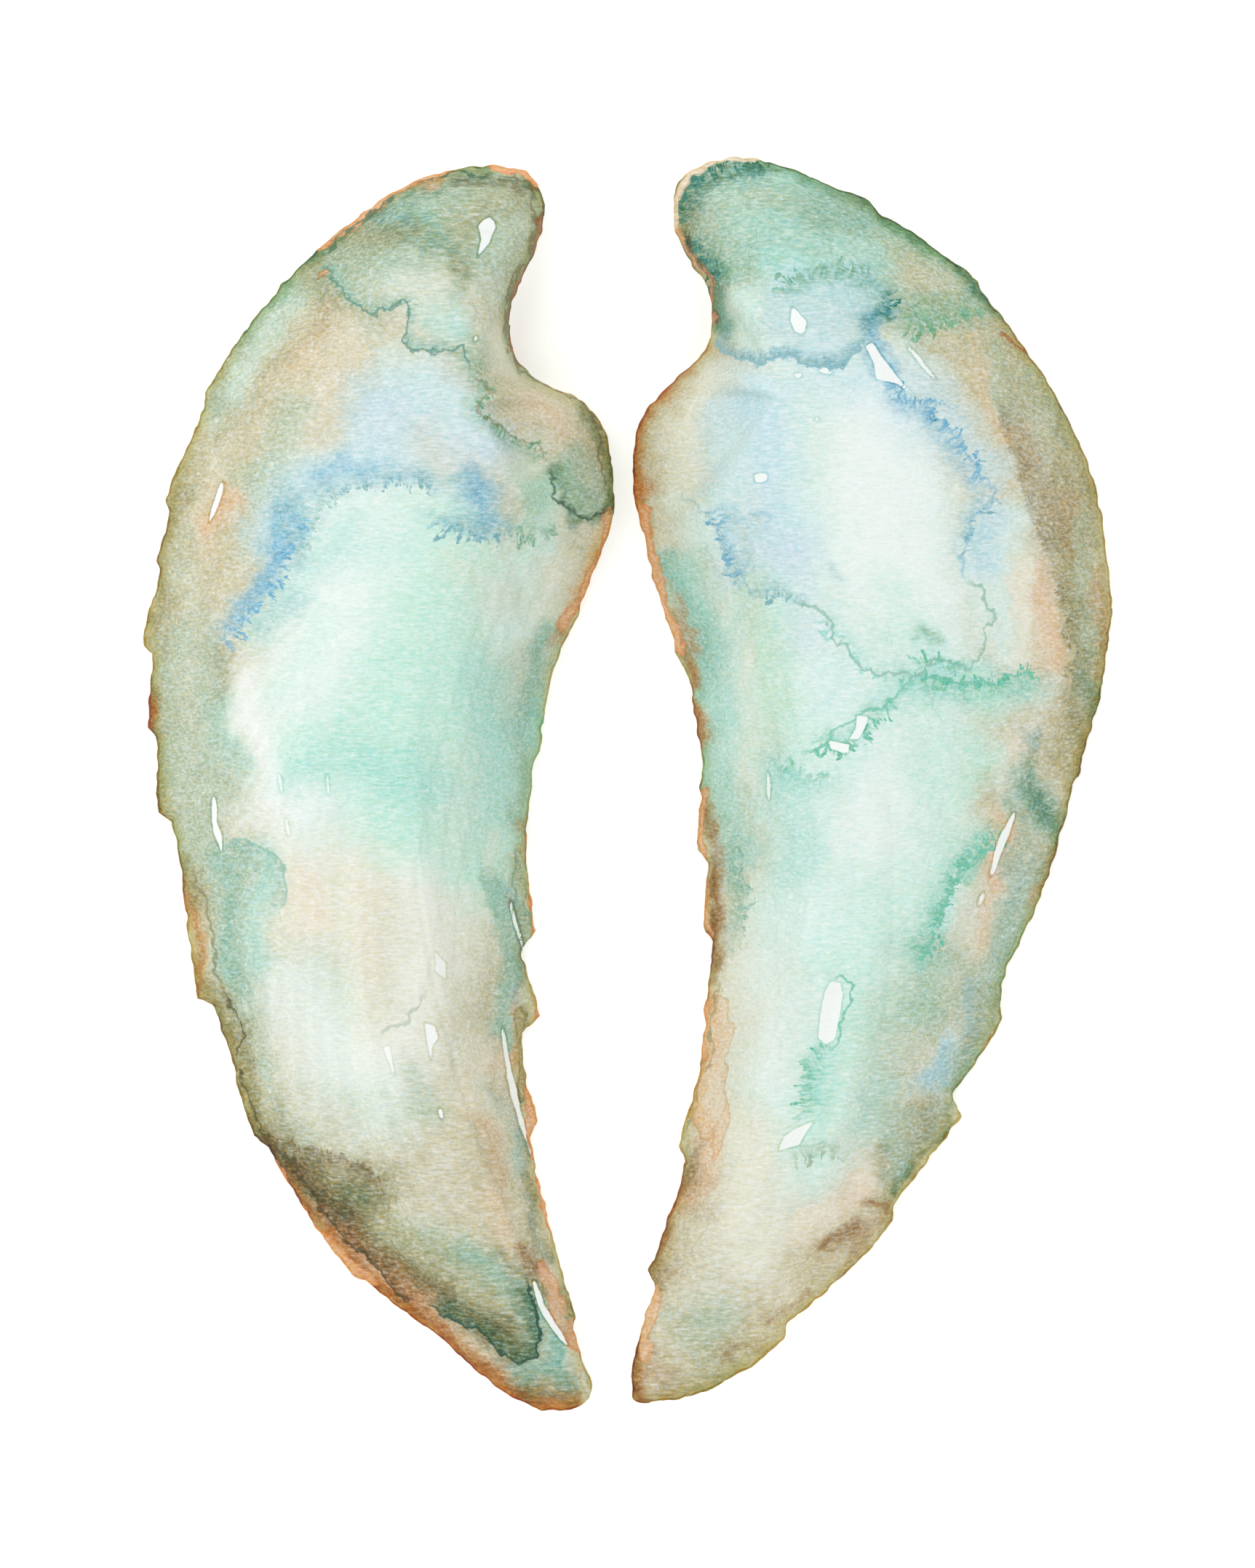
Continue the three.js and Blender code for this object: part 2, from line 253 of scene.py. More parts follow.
def build_valve(valve):
    """The plain skin of a valve in mm, with the facts about each point that its ribs and its tints follow."""
    umbo = np.array(valve["umbo"]) * PERCENT
    margin, length = smooth_margin(valve["outline"])
    outward = outward_of(margin)
    shares = np.linspace(0, 1, MARGIN_PLACES + 1)
    push = tip_heights(valve, shares, length)
    flange_at = zone(margin, valve["hinge"], FLANGE_REACH)
    gape_at = np.maximum(zone(margin, valve["front_end"], END_REACH), zone(margin, valve["rear_end"], END_REACH))
    lift_at = np.maximum(FLANGE_LIFT * flange_at, END_LIFT * gape_at)

    outer = leaf_grid(margin)
    around, grown = growth_place(outer, umbo, margin)
    flange, lift = np.interp(around, shares, flange_at), np.interp(around, shares, lift_at)
    wall = 1 - grown ** (DOME_POWER + (FLANGE_POWER - DOME_POWER) * flange)
    rise = lift * smoothstep(grown, *LIFT_FADE)

    def pushed(plan):
        place, far = nearest_place(plan, margin, outward)
        share = np.maximum(0, 1 - far / TIP_DEPTH) ** TIP_POWER
        return plan + outward[place] * (push[place] * share)[:, None], place, far

    outer_plan, outer_place, outer_far = pushed(outer)
    rows = ROWS - 1
    picked = np.arange(rows * (COLUMNS + 1)).reshape(rows, COLUMNS + 1)[:, ::INSIDE_STEP].ravel()
    picked = np.concatenate([picked, [len(outer) - 2, len(outer) - 1]])
    land = margin - outward * RIM_LAND
    ends = np.stack([np.interp(around[picked], shares, land[:, k]) for k in (0, 1)], 1)
    y = umbo[1] + (ends[:, 1] - umbo[1]) * grown[picked]
    x = umbo[0] + (ends[:, 0] + bow(umbo, ends[:, 1]) - umbo[0]) * grown[picked] - bow(umbo, y)
    inner_plan, _, inner_far = pushed(np.stack([x, y], 1))

    faces, loop = valve_faces(rows)
    edge_plan, edge_out, edge_lift = outer_plan[loop], outward[outer_place[loop]], lift[loop]
    swell = np.column_stack([edge_plan + edge_out * RIM_BULGE, edge_lift + MARGIN_EDGE / 2])
    foot = np.column_stack([edge_plan - edge_out * RIM_WORN, edge_lift])
    top = np.column_stack([outer_plan, MARGIN_EDGE + rise + (CROWN - MARGIN_EDGE) * wall])
    under = np.column_stack([inner_plan, rise[picked] + (CROWN - WALL) * wall[picked]])
    points = np.vstack([top, under, swell, foot])
    points[:, 0] *= valve["side"]

    crests = rib_turns(valve, length)
    turn_of = np.interp((around - crests[0]) % 1 + crests[0], crests, np.arange(len(crests)))
    facts = {
        "grown": (grown, grown[picked], grown[loop], grown[loop]),
        "rib_turn": (turn_of, turn_of[picked], turn_of[loop], turn_of[loop]),
        "relief": ((1 - flange) * smoothstep(outer_far, 0.0, RELIEF_SHORE), -RELIEF_INSIDE * (1 - flange[picked]),
                   0 * edge_lift, 0 * edge_lift),
        "from_edge": (outer_far, inner_far, 0 * edge_lift, 0 * edge_lift),
        "inside": (0 * grown, 0 * picked + 1.0, 0 * edge_lift, 0 * edge_lift + 1.0),
    }
    facts = {name: np.concatenate(parts) for name, parts in facts.items()}
    corners = points[[face[:3] for face in faces]]
    if np.einsum("ij,ij->i", corners[:, 0], np.cross(corners[:, 1], corners[:, 2])).sum() < 0:
        faces = [face[::-1] for face in faces]
    return points, faces, facts


def skin_object(valve, points, faces, facts):
    """The plain skin as an object in metres, with its facts as attributes."""
    skin = bpy.data.meshes.new(valve["name"])
    skin.from_pydata((points * MM).tolist(), [], faces)
    for name, values in facts.items():
        skin.attributes.new(name, "FLOAT", "POINT").data.foreach_set("value", values.astype(np.float32))
    skin.polygons.foreach_set("use_smooth", np.ones(len(faces), bool))
    shell = bpy.data.objects.new(valve["name"], skin)
    bpy.context.scene.collection.objects.link(shell)
    return shell


RIB_HEIGHT, RIB_FADE = 0.28, (0.12, 0.9)  # height of a rib near the margin, and shares over which ribs come in
RIB_CREST = 1.6  # over 1 makes the crests sharper than the furrows
RIB_SWELL = (0.45, 0.7)  # gain of a rib's height from one ledge to the next, and its least height
LEDGE_HEIGHT, LEDGES = 0.2, 9.0  # height and count of the ledges that halts in growth left
LEDGE_CROWDING = 1.7  # over 1 brings the ledges closer towards the margin
LEDGE_DROP, LEDGE_FADE = 0.86, (0.2, 0.6)  # share of a ledge at which it drops off, and shares where ledges come in
LEDGE_WANDER = (60.0, 0.5)  # waves of a ledge to a metre, and how far they carry it
STRIA_HEIGHT, STRIAE = 0.05, 150.0  # height and count of the fine growth lines


def reckon(tree, operation, *inputs):
    """A Math node of a tree; each input is a number or the socket that feeds it."""
    node = tree.nodes.new("ShaderNodeMath")
    node.operation = operation
    for socket, value in zip(node.inputs, inputs):
        if isinstance(value, bpy.types.NodeSocket):
            tree.links.new(value, socket)
        else:
            socket.default_value = value
    return node.outputs[0]


def fade(tree, value, low, high, start=0.0, end=1.0):
    """A smooth step of value from low to high, as a socket."""
    node = tree.nodes.new("ShaderNodeMapRange")
    node.interpolation_type = "SMOOTHSTEP"
    tree.links.new(value, node.inputs["Value"])
    for name, number in zip(("From Min", "From Max", "To Min", "To Max"), (low, high, start, end)):
        node.inputs[name].default_value = number
    return node.outputs["Result"]


def ribs_and_growth():
    """The node tree that raises the ribs, the growth ledges and the fine growth lines of a valve."""
    tree = bpy.data.node_groups.new("ribs and growth", "GeometryNodeTree")
    tree.interface.new_socket("Skin", in_out="INPUT", socket_type="NodeSocketGeometry")
    for name in ("Rib height", "Ledge height", "Ledges", "Stria height", "Striae", "Seed"):
        tree.interface.new_socket(name, in_out="INPUT", socket_type="NodeSocketFloat")
    tree.interface.new_socket("Finish", in_out="INPUT", socket_type="NodeSocketMaterial")
    tree.interface.new_socket("Shell", in_out="OUTPUT", socket_type="NodeSocketGeometry")
    given = tree.nodes.new("NodeGroupInput").outputs

    def fact(name):
        node = tree.nodes.new("GeometryNodeInputNamedAttribute")
        node.inputs["Name"].default_value = name
        return node.outputs["Attribute"]

    def noise_along(value, scale, detail):
        node = tree.nodes.new("ShaderNodeTexNoise")
        node.noise_dimensions = "4D"
        node.inputs["Scale"].default_value, node.inputs["Detail"].default_value = scale, detail
        tree.links.new(value, node.inputs["W"])
        tree.links.new(place, node.inputs["Vector"])
        return node.outputs["Fac"]

    place = tree.nodes.new("GeometryNodeInputPosition").outputs[0]
    grown, around = fact("grown"), fact("rib_turn")
    ridge = reckon(tree, "ABSOLUTE", reckon(tree, "MULTIPLY_ADD", reckon(tree, "FRACT", around), 2.0, -1.0))
    rib = reckon(tree, "MULTIPLY", reckon(tree, "POWER", ridge, RIB_CREST), fade(tree, grown, *RIB_FADE))
    wander = noise_along(given["Seed"], LEDGE_WANDER[0], 2.0)
    band = reckon(tree, "MULTIPLY", reckon(tree, "POWER", grown, LEDGE_CROWDING), given["Ledges"])
    part = reckon(tree, "FRACT", reckon(tree, "MULTIPLY_ADD", wander, LEDGE_WANDER[1], band))
    ledge = reckon(tree, "MULTIPLY", part, fade(tree, part, LEDGE_DROP, 1.0, 1.0, 0.0))
    ledge = reckon(tree, "MULTIPLY", ledge, fade(tree, grown, *LEDGE_FADE))
    scale = reckon(tree, "MULTIPLY_ADD", part, *RIB_SWELL)  # a rib swells towards each ledge, as a scale
    lines = noise_along(reckon(tree, "MULTIPLY", grown, given["Striae"]), 8.0, 1.0)
    height = reckon(tree, "MULTIPLY", reckon(tree, "MULTIPLY", rib, scale), given["Rib height"])
    height = reckon(tree, "ADD", height, reckon(tree, "MULTIPLY", ledge, given["Ledge height"]))
    lines = reckon(tree, "MULTIPLY", reckon(tree, "SUBTRACT", lines, 0.5), given["Stria height"])
    height = reckon(tree, "MULTIPLY", reckon(tree, "ADD", height, lines), fact("relief"))
    offset = tree.nodes.new("ShaderNodeVectorMath")
    offset.operation = "SCALE"
    tree.links.new(tree.nodes.new("GeometryNodeInputNormal").outputs[0], offset.inputs[0])
    tree.links.new(reckon(tree, "MULTIPLY", height, MM), offset.inputs["Scale"])
    raised, whole = tree.nodes.new("GeometryNodeSetPosition"), tree.nodes.new("GeometryNodeRealizeInstances")
    finished, result = tree.nodes.new("GeometryNodeSetMaterial"), tree.nodes.new("NodeGroupOutput")
    tree.links.new(given["Skin"], raised.inputs["Geometry"])
    tree.links.new(offset.outputs[0], raised.inputs["Offset"])
    tree.links.new(raised.outputs[0], whole.inputs[0])
    tree.links.new(whole.outputs[0], finished.inputs["Geometry"])
    tree.links.new(given["Finish"], finished.inputs["Material"])
    tree.links.new(finished.outputs[0], result.inputs[0])
    return tree


def raise_relief(shell, tree, seed, finish):
    """Runs the tree on a plain skin and leaves the result as the object's own mesh."""
    modifier = shell.modifiers.new("ribs and growth", "NODES")
    modifier.node_group = tree
    values = {"Rib height": RIB_HEIGHT, "Ledge height": LEDGE_HEIGHT, "Ledges": LEDGES,
              "Stria height": STRIA_HEIGHT, "Striae": STRIAE, "Seed": float(seed), "Finish": finish}
    for item in tree.interface.items_tree:
        if item.in_out == "INPUT" and item.name in values:
            modifier[item.identifier] = values[item.name]
    bpy.context.view_layer.update()
    raised = bpy.data.meshes.new_from_object(shell.evaluated_get(bpy.context.evaluated_depsgraph_get()))
    shell.modifiers.clear()
    shell.data = raised
    raised.name = shell.name


PIGMENTS = {  # the washes that the chalky layer took up, as they look dry
    "chalk": "f7fbf8", "cream": "e9e9d7", "mint": "c4eedc", "pale aqua": "ddf3ec", "aqua": "aee1d7",
    "sky": "c8e5ee", "blue": "80b9d3", "slate": "8dbcc4", "lavender": "d5dfee", "teal": "8bbcaa",
    "deep teal": "3f8474", "jade": "74c6ab", "sea green": "a8bfa6", "green": "80b391", "bottle": "3f6a4a",
    "pine": "25503d", "olive": "b3ad85", "moss": "87855a", "peat": "453f20", "umber": "66522c",
    "sepia": "8a6238", "tan": "cac09c", "sand": "d1cfb6", "peach": "e8c6a2", "apricot": "e9b68d",
    "rust": "c58552", "blush": "f3e0cd",
}
BARE = 99.0  # further off than any mark
WASH_ROOM, MARK_ROOM = 4.0, 3.0  # room in mm round a wash and round a mark for its wandering edge
# How the marks wander: pairs of the size in mm and the reach of each wave, coarse to fine.
LOOSE_EDGE = ((9.0, 1.5), (3.2, 0.8), (1.3, 0.45), (0.7, 0.25))  # the edges of washes that ran on wet shell
TIGHT_EDGE = ((3.0, 0.45), (1.1, 0.3), (0.6, 0.18))  # the edges of marks that dried where they lay
UNEVEN, UNEVEN_HOLD = ((1.0, 0.6), (0.5, 0.4)), 0.12  # how unevenly the shell took up a wash, and how strongly
TIDE_WASH = 0.45  # strength of the wash behind a frayed edge, against that of the edge
TIDE_START, TIDE_POWER = (-0.3, 0.8), 1.3  # how softly that wash starts, and how soon it ebbs
FINGER_DRAWN = 0.3  # the fingers of a frayed edge are drawn out square to it: less is longer
BLOOM_ENDS, LINE_ENDS = (-0.1, 2.5), (-0.2, 1.5)  # runs in mm over which those marks fade in from their ends
EBB_ELSEWHERE = 0.3  # where no pigment ebbs
STRIP_BLUNT = 0.25  # how blunt a strip's ends are
INSIDE_PALE, INSIDE_WHITE = 0.78, 0.98  # share of the tint that the inside lost, and how bright it is for it


def pigment(name):
    """The red, green and blue of a tint, each from 0 to 1, as it looks."""
    return np.array([int(PIGMENTS[name][k:k + 2], 16) / 255 for k in (0, 2, 4)])


def along(points, path):
    """How far each point is from a path, on which side of it (left is over 0), and its share of the run."""
    path = np.array(path, float)
    far, side, run = np.full(len(points), 1e9), np.zeros(len(points)), np.zeros(len(points))
    lengths = np.linalg.norm(np.diff(path, axis=0), axis=1)
    start = 0.0
    for a, b, length in zip(path, path[1:], lengths):
        step = (b - a) / length
        offset = points - a
        on = np.clip(offset @ step, 0, length)
        gap = np.linalg.norm(offset - on[:, None] * step, axis=1)
        closer = gap < far
        far[closer] = gap[closer]
        side[closer] = np.sign(step[0] * offset[:, 1] - step[1] * offset[:, 0])[closer]
        run[closer] = start + on[closer]
        start += length
    return far, side, run, start


class Tints:
    """The colours that the chalky outer layer took up, laid on wash by wash, in mm of the row frame."""

    def __init__(self, plan, seed):
        self.plan, count = plan, len(plan)
        def wander(k, sizes):
            return np.stack([sum(size * mottle(plan, cell, seed + k + n + m * 40)
                                 for n, (cell, size) in enumerate(sizes)) for m in (0, 1)], 1)
        self.loose = plan + wander(1, LOOSE_EDGE)
        self.tight = plan + wander(9, TIGHT_EDGE)
        self.uneven = sum(size * mottle(plan, cell, seed + 90 + n) for n, (cell, size) in enumerate(UNEVEN))
        self.colour = np.tile(pigment("chalk"), (count, 1))
        self.rill, self.ink = np.full(count, BARE), np.zeros((count, 4))
        self.tide, self.dye, self.shore = np.full(count, BARE), np.zeros((count, 4)), np.zeros((count, 3))
        self.ebb, self.fray = np.full(count, EBB_ELSEWHERE), np.zeros(count)
        self.lap, self.glaze = np.full(count, BARE), np.zeros((count, 4))
        self.bare = np.full(count, BARE)

    def near(self, path, reach):
        """The points that lie in the box round a path."""
        low, high = np.min(path, axis=0) - reach, np.max(path, axis=0) + reach
        return np.flatnonzero(((self.plan > low) & (self.plan < high)).all(1))

    def lay(self, pick, name, cover):
        """Lays a tint over the picked points, as far as cover says."""
        cover = np.clip(cover, 0, 1)[:, None]
        self.colour[pick] += (pigment(name) - self.colour[pick]) * cover

    def washes(self, *washes):
        """Wet washes, each along its path: wide is its half width, and soft the width of its fading edge."""
        for name, strength, wide, soft, *path in washes:
            pick = self.near(path, wide + soft + WASH_ROOM)
            far, _, _, _ = along(self.loose[pick], path)
            cover = 1 - smoothstep(far, wide - soft / 2, wide + soft / 2)
            self.lay(pick, name, strength * cover * (1 + UNEVEN_HOLD * self.uneven[pick]))

    def bloom(self, name, strength, spread, *path, fray=1.0):
        """Pigment that water pushed up to a frayed edge. It fades to the left where spread is over 0."""
        pick = self.near(path, abs(spread) + WASH_ROOM)
        far, side, run, length = along(self.tight[pick], path)
        depth = far * side * np.sign(spread)
        ends = smoothstep(np.minimum(run, length - run), *BLOOM_ENDS)
        fading = (1 - np.clip(depth / abs(spread), 0, 1)) ** TIDE_POWER
        behind = fading * smoothstep(depth, *TIDE_START) * ends * (far < 2 * abs(spread))
        self.lay(pick, name, TIDE_WASH * strength * behind)
        closer = far < np.abs(self.tide[pick])
        pick = pick[closer]
        self.tide[pick] = depth[closer]
        self.shore[pick] = np.column_stack([run[closer], FINGER_DRAWN * depth[closer], np.zeros(len(pick))])
        self.ebb[pick], self.fray[pick] = 1 / abs(spread), fray
        self.dye[pick] = np.column_stack([np.tile(pigment(name), (len(pick), 1)), strength * ends[closer]])

    def strips(self, *strips):
        """Narrow glazes with a crisp edge. Each narrows towards both ends of its path."""
        for name, strength, wide, *path in strips:
            pick = self.near(path, wide + MARK_ROOM)
            far, _, run, length = along(self.tight[pick], path)
            taper = np.sqrt(np.clip(np.minimum(run, length - run) / (2 * wide) + STRIP_BLUNT, 0, 1))
            out = far - wide * taper
            closer = out < self.lap[pick]
            pick = pick[closer]
            self.lap[pick] = out[closer]
            self.glaze[pick] = [*pigment(name), strength]

    def lines(self, *lines):
        """Thin crinkled lines where a wash dried."""
        for name, strength, *path in lines:
            pick = self.near(path, MARK_ROOM)
            far, side, run, length = along(self.tight[pick], path)
            closer = far < np.abs(self.rill[pick])
            pick, far, side, run = pick[closer], far[closer], side[closer], run[closer]
            self.rill[pick] = far * np.where(side < 0, -1, 1)
            ends = smoothstep(np.minimum(run, length - run), *LINE_ENDS)
            self.ink[pick] = np.column_stack([np.tile(pigment(name), (len(pick), 1)), strength * ends])

    def flecks(self, *flecks):
        """Chalk left bare inside closed lines, each given by its corners; these white flecks are also painted
        highlights.
        """
        for corners in flecks:
            pick = self.near(corners, MARK_ROOM)
            points = self.plan[pick]
            far, _, _, _ = along(points, [*corners, corners[0]])
            inside = np.zeros(len(pick), bool)
            for (ax, ay), (bx, by) in zip(corners, corners[1:] + corners[:1]):
                crosses = (ay > points[:, 1]) != (by > points[:, 1])
                with np.errstate(divide="ignore", invalid="ignore"):
                    inside ^= crosses & (points[:, 0] < ax + (points[:, 1] - ay) / (by - ay) * (bx - ax))
            self.bare[pick] = np.minimum(self.bare[pick], np.where(inside, -far, far))

    def slivers(self, *slivers):
        """Narrow slivers left bare, white like the flecks and also painted highlights. Each is wide across at its
        middle and comes to a point at each end.
        """
        for wide, *path in slivers:
            pick = self.near(path, MARK_ROOM)
            far, _, run, length = along(self.plan[pick], path)
            share = run / length
            half = wide / 2 * np.sqrt(np.clip(4 * share * (1 - share), 0, 1))
            self.bare[pick] = np.minimum(self.bare[pick], far - half)

    def soak_in(self, shell, inside):
        """Puts the colours and marks on the shell. The inside keeps only a breath of them."""
        def dry(colour):
            """From how bright a colour looks to how much light it gives back."""
            return np.where(colour > 0.04045, ((colour + 0.055) / 1.055) ** 2.4, colour / 12.92)
        colour = self.colour + (pigment("cream") * INSIDE_WHITE - self.colour) * (INSIDE_PALE * inside)[:, None]
        tints = {"wash": np.column_stack([dry(colour), np.ones(len(colour))])}
        for name, tint in (("ink", self.ink), ("dye", self.dye), ("glaze", self.glaze)):
            tints[name] = np.column_stack([dry(tint[:, :3]), tint[:, 3] * (1 - inside)])
        for name, values in tints.items():
            layer = shell.data.attributes.new(name, "FLOAT_COLOR", "POINT")
            layer.data.foreach_set("color", values.astype(np.float32).ravel())
        for name, values in (("rill", self.rill), ("tide", self.tide), ("ebb", self.ebb), ("fray", self.fray),
                             ("lap", self.lap), ("bare", self.bare + BARE * inside)):
            layer = shell.data.attributes.new(name, "FLOAT", "POINT")
            layer.data.foreach_set("value", values.astype(np.float32))
        layer = shell.data.attributes.new("shore", "FLOAT_VECTOR", "POINT")
        layer.data.foreach_set("vector", self.shore.astype(np.float32).ravel())


DRY_ROUGHNESS, DRY_SHINE = 0.62, 0.3  # dry shell is matt and mirrors little
# Size in mm, detail and roughness of the marks that wet pigment leaves, and of the grain of the shell.
CRINKLE, SPECK, BLOTCH, DRIFT = (1.1, 3.0, 0.6), (0.44, 3.0, 0.7), (2.6, 3.0, 0.65), (0.62, 4.0, 0.75)
GRAIN, GRAIN_STRETCH = (0.31, 3.0, 0.6), (4.0, 1.0, 1.6)  # and how many times as long the grain is each way
FINGERS = (0.8, 2.0, 0.6)  # the same for the fingers of a frayed edge
SECOND_RUN = (0.31, 0.17, 0.0)  # where the drift of brown starts, so that it is unlike the specks
SPECK_DEPTH, BLOTCH_DEPTH, GRAIN_DEPTH = 1.3, 0.4, 2.0  # how far each deepens or thins the tint
SPECK_WARMTH, DRIFT_WARMTH, RIM_WARMTH = 0.5, 1.05, 0.15  # how far each leans it to brown
EYE_POWER = 2.2  # from how bright a tint looks to how much light it gives back, near enough
WARM_LEAN = (-0.9, 0.0, 0.9)  # what warmth takes from the depth of red and adds to that of blue
RIM_TAN = (0.0, 0.0, 0.45)  # what the rim adds to it
# Fades: from and to, in mm from the edge of each mark, then the depth at the start and at the end.
# Along the margin: a thin dark line at the very edge, and painted shade inside it where the dome falls away from
# the light.
EDGE_LINE, EDGE_SHADE = (0.04, 0.26, 1.0, 0.0), (0.2, 1.8, 0.42, 0.0)  # along the margin
FLECK_RING = (0.1, 0.34, 0.7, 0.0)  # round a bare fleck
GLAZE_POOL = (-0.02, 0.08, 0.45, 0.0)  # along the edge of a glaze
GLAZE_KEEPS_OFF = -0.75  # how far a glaze holds the rim's shade off
EBB_FADE = (0.0, 0.9, 1.1, 0.0)  # how the pigment thins out behind a frayed edge, in shares of its spread
INK_LINE = (0.06, 0.3, 1.0, 0.0)  # from the middle of a thin line
FLECK_RISE, POOL_RISE = (0.0, 0.08), (-0.4, -0.1)  # where the ring and the pool begin
CRISP_GLAZE, CRISP_FLECK, CRISP_TIDE, CRISP_FINGER = 0.05, 0.06, 0.12, 0.07  # half breadth of each one's edge
EDGE_WANDER = {"from_edge": 0.7, "lap": 0.5, "bare": 0.25, "tide": 0.4, "rill": 1.6}  # how far each edge crinkles
FINGER_REACH, FINGER_FADE, TIDE_SPECK = 7.0, 0.75, 1.4  # how far, how unevenly and how speckled the fingers run
PIT_STRENGTH, PIT_DEPTH, PIT_SPECK = 0.5, 0.0003, 0.5  # the fine pits of the surface, in metres


def shell_finish(name):
    """Dry chalky shell: matt, finely grained, its tints gathered in the grain and darker along their edges."""
    finish = bpy.data.materials.new(name)
    finish.use_nodes = True
    tree = finish.node_tree
    surface = tree.nodes["Principled BSDF"]
    surface.inputs["Roughness"].default_value = DRY_ROUGHNESS
    surface.inputs["Specular IOR Level"].default_value = DRY_SHINE

    def fact(attribute, output="Fac"):
        node = tree.nodes.new("ShaderNodeAttribute")
        node.attribute_name = attribute
        return node.outputs[output]

    def times(one, other):
        return reckon(tree, "MULTIPLY", one, other)

    def add_share(value, share, base):
        return reckon(tree, "MULTIPLY_ADD", value, share, base)

    coords = tree.nodes.new("ShaderNodeTexCoord").outputs["Object"]
    shift = tree.nodes.new("ShaderNodeMapping")
    shift.inputs["Location"].default_value = SECOND_RUN
    tree.links.new(coords, shift.inputs["Vector"])
    aside = shift.outputs["Vector"]

    def noise(cell, detail, rough, stretch=(1.0, 1.0, 1.0), place=coords, unit=MM):
        """Noise about 0, with waves of one cell, given in units of its place."""
        turn = tree.nodes.new("ShaderNodeMapping")
        turn.inputs["Scale"].default_value = [1.0 / (cell * unit * part) for part in stretch]
        node = tree.nodes.new("ShaderNodeTexNoise")
        tree.links.new(place, turn.inputs["Vector"])
        tree.links.new(turn.outputs["Vector"], node.inputs["Vector"])
        node.inputs["Scale"].default_value, node.inputs["Detail"].default_value = 1.0, detail
        node.inputs["Roughness"].default_value = rough
        return reckon(tree, "SUBTRACT", node.outputs["Fac"], 0.5)

    def blend(share, under, over):
        node = tree.nodes.new("ShaderNodeMix")
        node.data_type = "RGBA"
        tree.links.new(share, node.inputs["Factor"])
        for socket, value in zip((s for s in node.inputs if s.type == "RGBA"), (under, over)):
            if isinstance(value, bpy.types.NodeSocket):
                tree.links.new(value, socket)
            else:
                socket.default_value = value
        return next(s for s in node.outputs if s.type == "RGBA")

    crinkle, speck, blotch = noise(*CRINKLE), noise(*SPECK), noise(*BLOTCH)
    grain = noise(*GRAIN, stretch=GRAIN_STRETCH)

    def off(mark):
        """How far a point is from the crinkled edge of a mark, in mm: below 0 is inside it."""
        return add_share(crinkle, EDGE_WANDER[mark], fact(mark))

    # How deep the tint is: 1 as laid, more in the grain, and more at the margin, where a thin dark line and painted
    # shade darken it.
    from_edge, off_glaze, off_fleck = off("from_edge"), off("lap"), off("bare")
    depth = add_share(speck, SPECK_DEPTH, 1.0)
    depth = add_share(blotch, BLOTCH_DEPTH, depth)
    depth = add_share(grain, GRAIN_DEPTH, depth)
    outside = reckon(tree, "SUBTRACT", 1.0, fact("inside"))
    # The rim: the margin's thin dark line and the painted shade inside it.
    rim = reckon(tree, "ADD", fade(tree, from_edge, *EDGE_LINE), fade(tree, from_edge, *EDGE_SHADE))
    on_glaze = times(fade(tree, off_glaze, -CRISP_GLAZE, CRISP_GLAZE, 1.0, 0.0), fact("glaze", "Alpha"))
    rim = times(rim, add_share(on_glaze, GLAZE_KEEPS_OFF, outside))
    depth = reckon(tree, "ADD", depth, rim)
    for edge, begin, end in ((off_fleck, FLECK_RISE, FLECK_RING), (off_glaze, POOL_RISE, GLAZE_POOL)):
        depth = reckon(tree, "ADD", depth, times(fade(tree, edge, *begin), fade(tree, edge, *end)))

    # How warm it is: brown pigment settled in some of the grain, and the painted shade along the margin leans
    # brown.
    drift = noise(*DRIFT, place=aside)
    warmth = add_share(speck, SPECK_WARMTH, times(drift, DRIFT_WARMTH))
    warmth = add_share(rim, RIM_WARMTH, warmth)

    def dipped(tint, deep, warm, margin_line_and_shade):
        """The tint as if dipped deep times over, so that its darker channels darken most."""
        parts, whole = tree.nodes.new("ShaderNodeSeparateColor"), tree.nodes.new("ShaderNodeCombineColor")
        tree.links.new(tint, parts.inputs[0])
        warm = times(warm, deep)
        for source, target, lean, more in zip(parts.outputs, whole.inputs, WARM_LEAN, RIM_TAN):
            # The rim's dark line and painted shade deepen blue most, so they lean tan.
            power = add_share(margin_line_and_shade, more, add_share(warm, lean, deep))
            tree.links.new(reckon(tree, "POWER", source, power), target)
        return whole.outputs[0]

    # Frayed edges: fingers of pigment that reach inwards from where a wash stopped, and thin out behind it.
    fingers = noise(*FINGERS, place=fact("shore", "Vector"), unit=1.0)
    sway = add_share(fingers, FINGER_REACH, speck)
    inward = add_share(sway, fact("fray"), off("tide"))
    ebbing = fade(tree, times(inward, fact("ebb")), *EBB_FADE)
    strokes = fade(tree, fingers, -CRISP_FINGER, CRISP_FINGER, -FINGER_FADE, FINGER_FADE)
    strokes = add_share(strokes, fact("fray"), 1.0)
    shore = times(fade(tree, inward, -CRISP_TIDE, CRISP_TIDE), ebbing)
    shore = times(shore, add_share(speck, TIDE_SPECK, 1.0))
    shore = times(shore, times(strokes, fact("dye", "Alpha")))

    # The wash, then frayed edges, glazes, thin lines and bare chalk over it; the bare white flecks are also painted
    # highlights.
    tinted = blend(shore, fact("wash", "Color"), fact("dye", "Color"))
    tinted = blend(on_glaze, tinted, fact("glaze", "Color"))
    tinted = dipped(tinted, depth, warmth, rim)
    on_line = times(fade(tree, reckon(tree, "ABSOLUTE", off("rill")), *INK_LINE), fact("ink", "Alpha"))
    tinted = blend(on_line, tinted, fact("ink", "Color"))
    chalk = [float(part) ** EYE_POWER for part in pigment("chalk")] + [1.0]
    tinted = blend(fade(tree, off_fleck, -CRISP_FLECK, CRISP_FLECK, 1.0, 0.0), tinted, chalk)
    tree.links.new(tinted, surface.inputs["Base Color"])

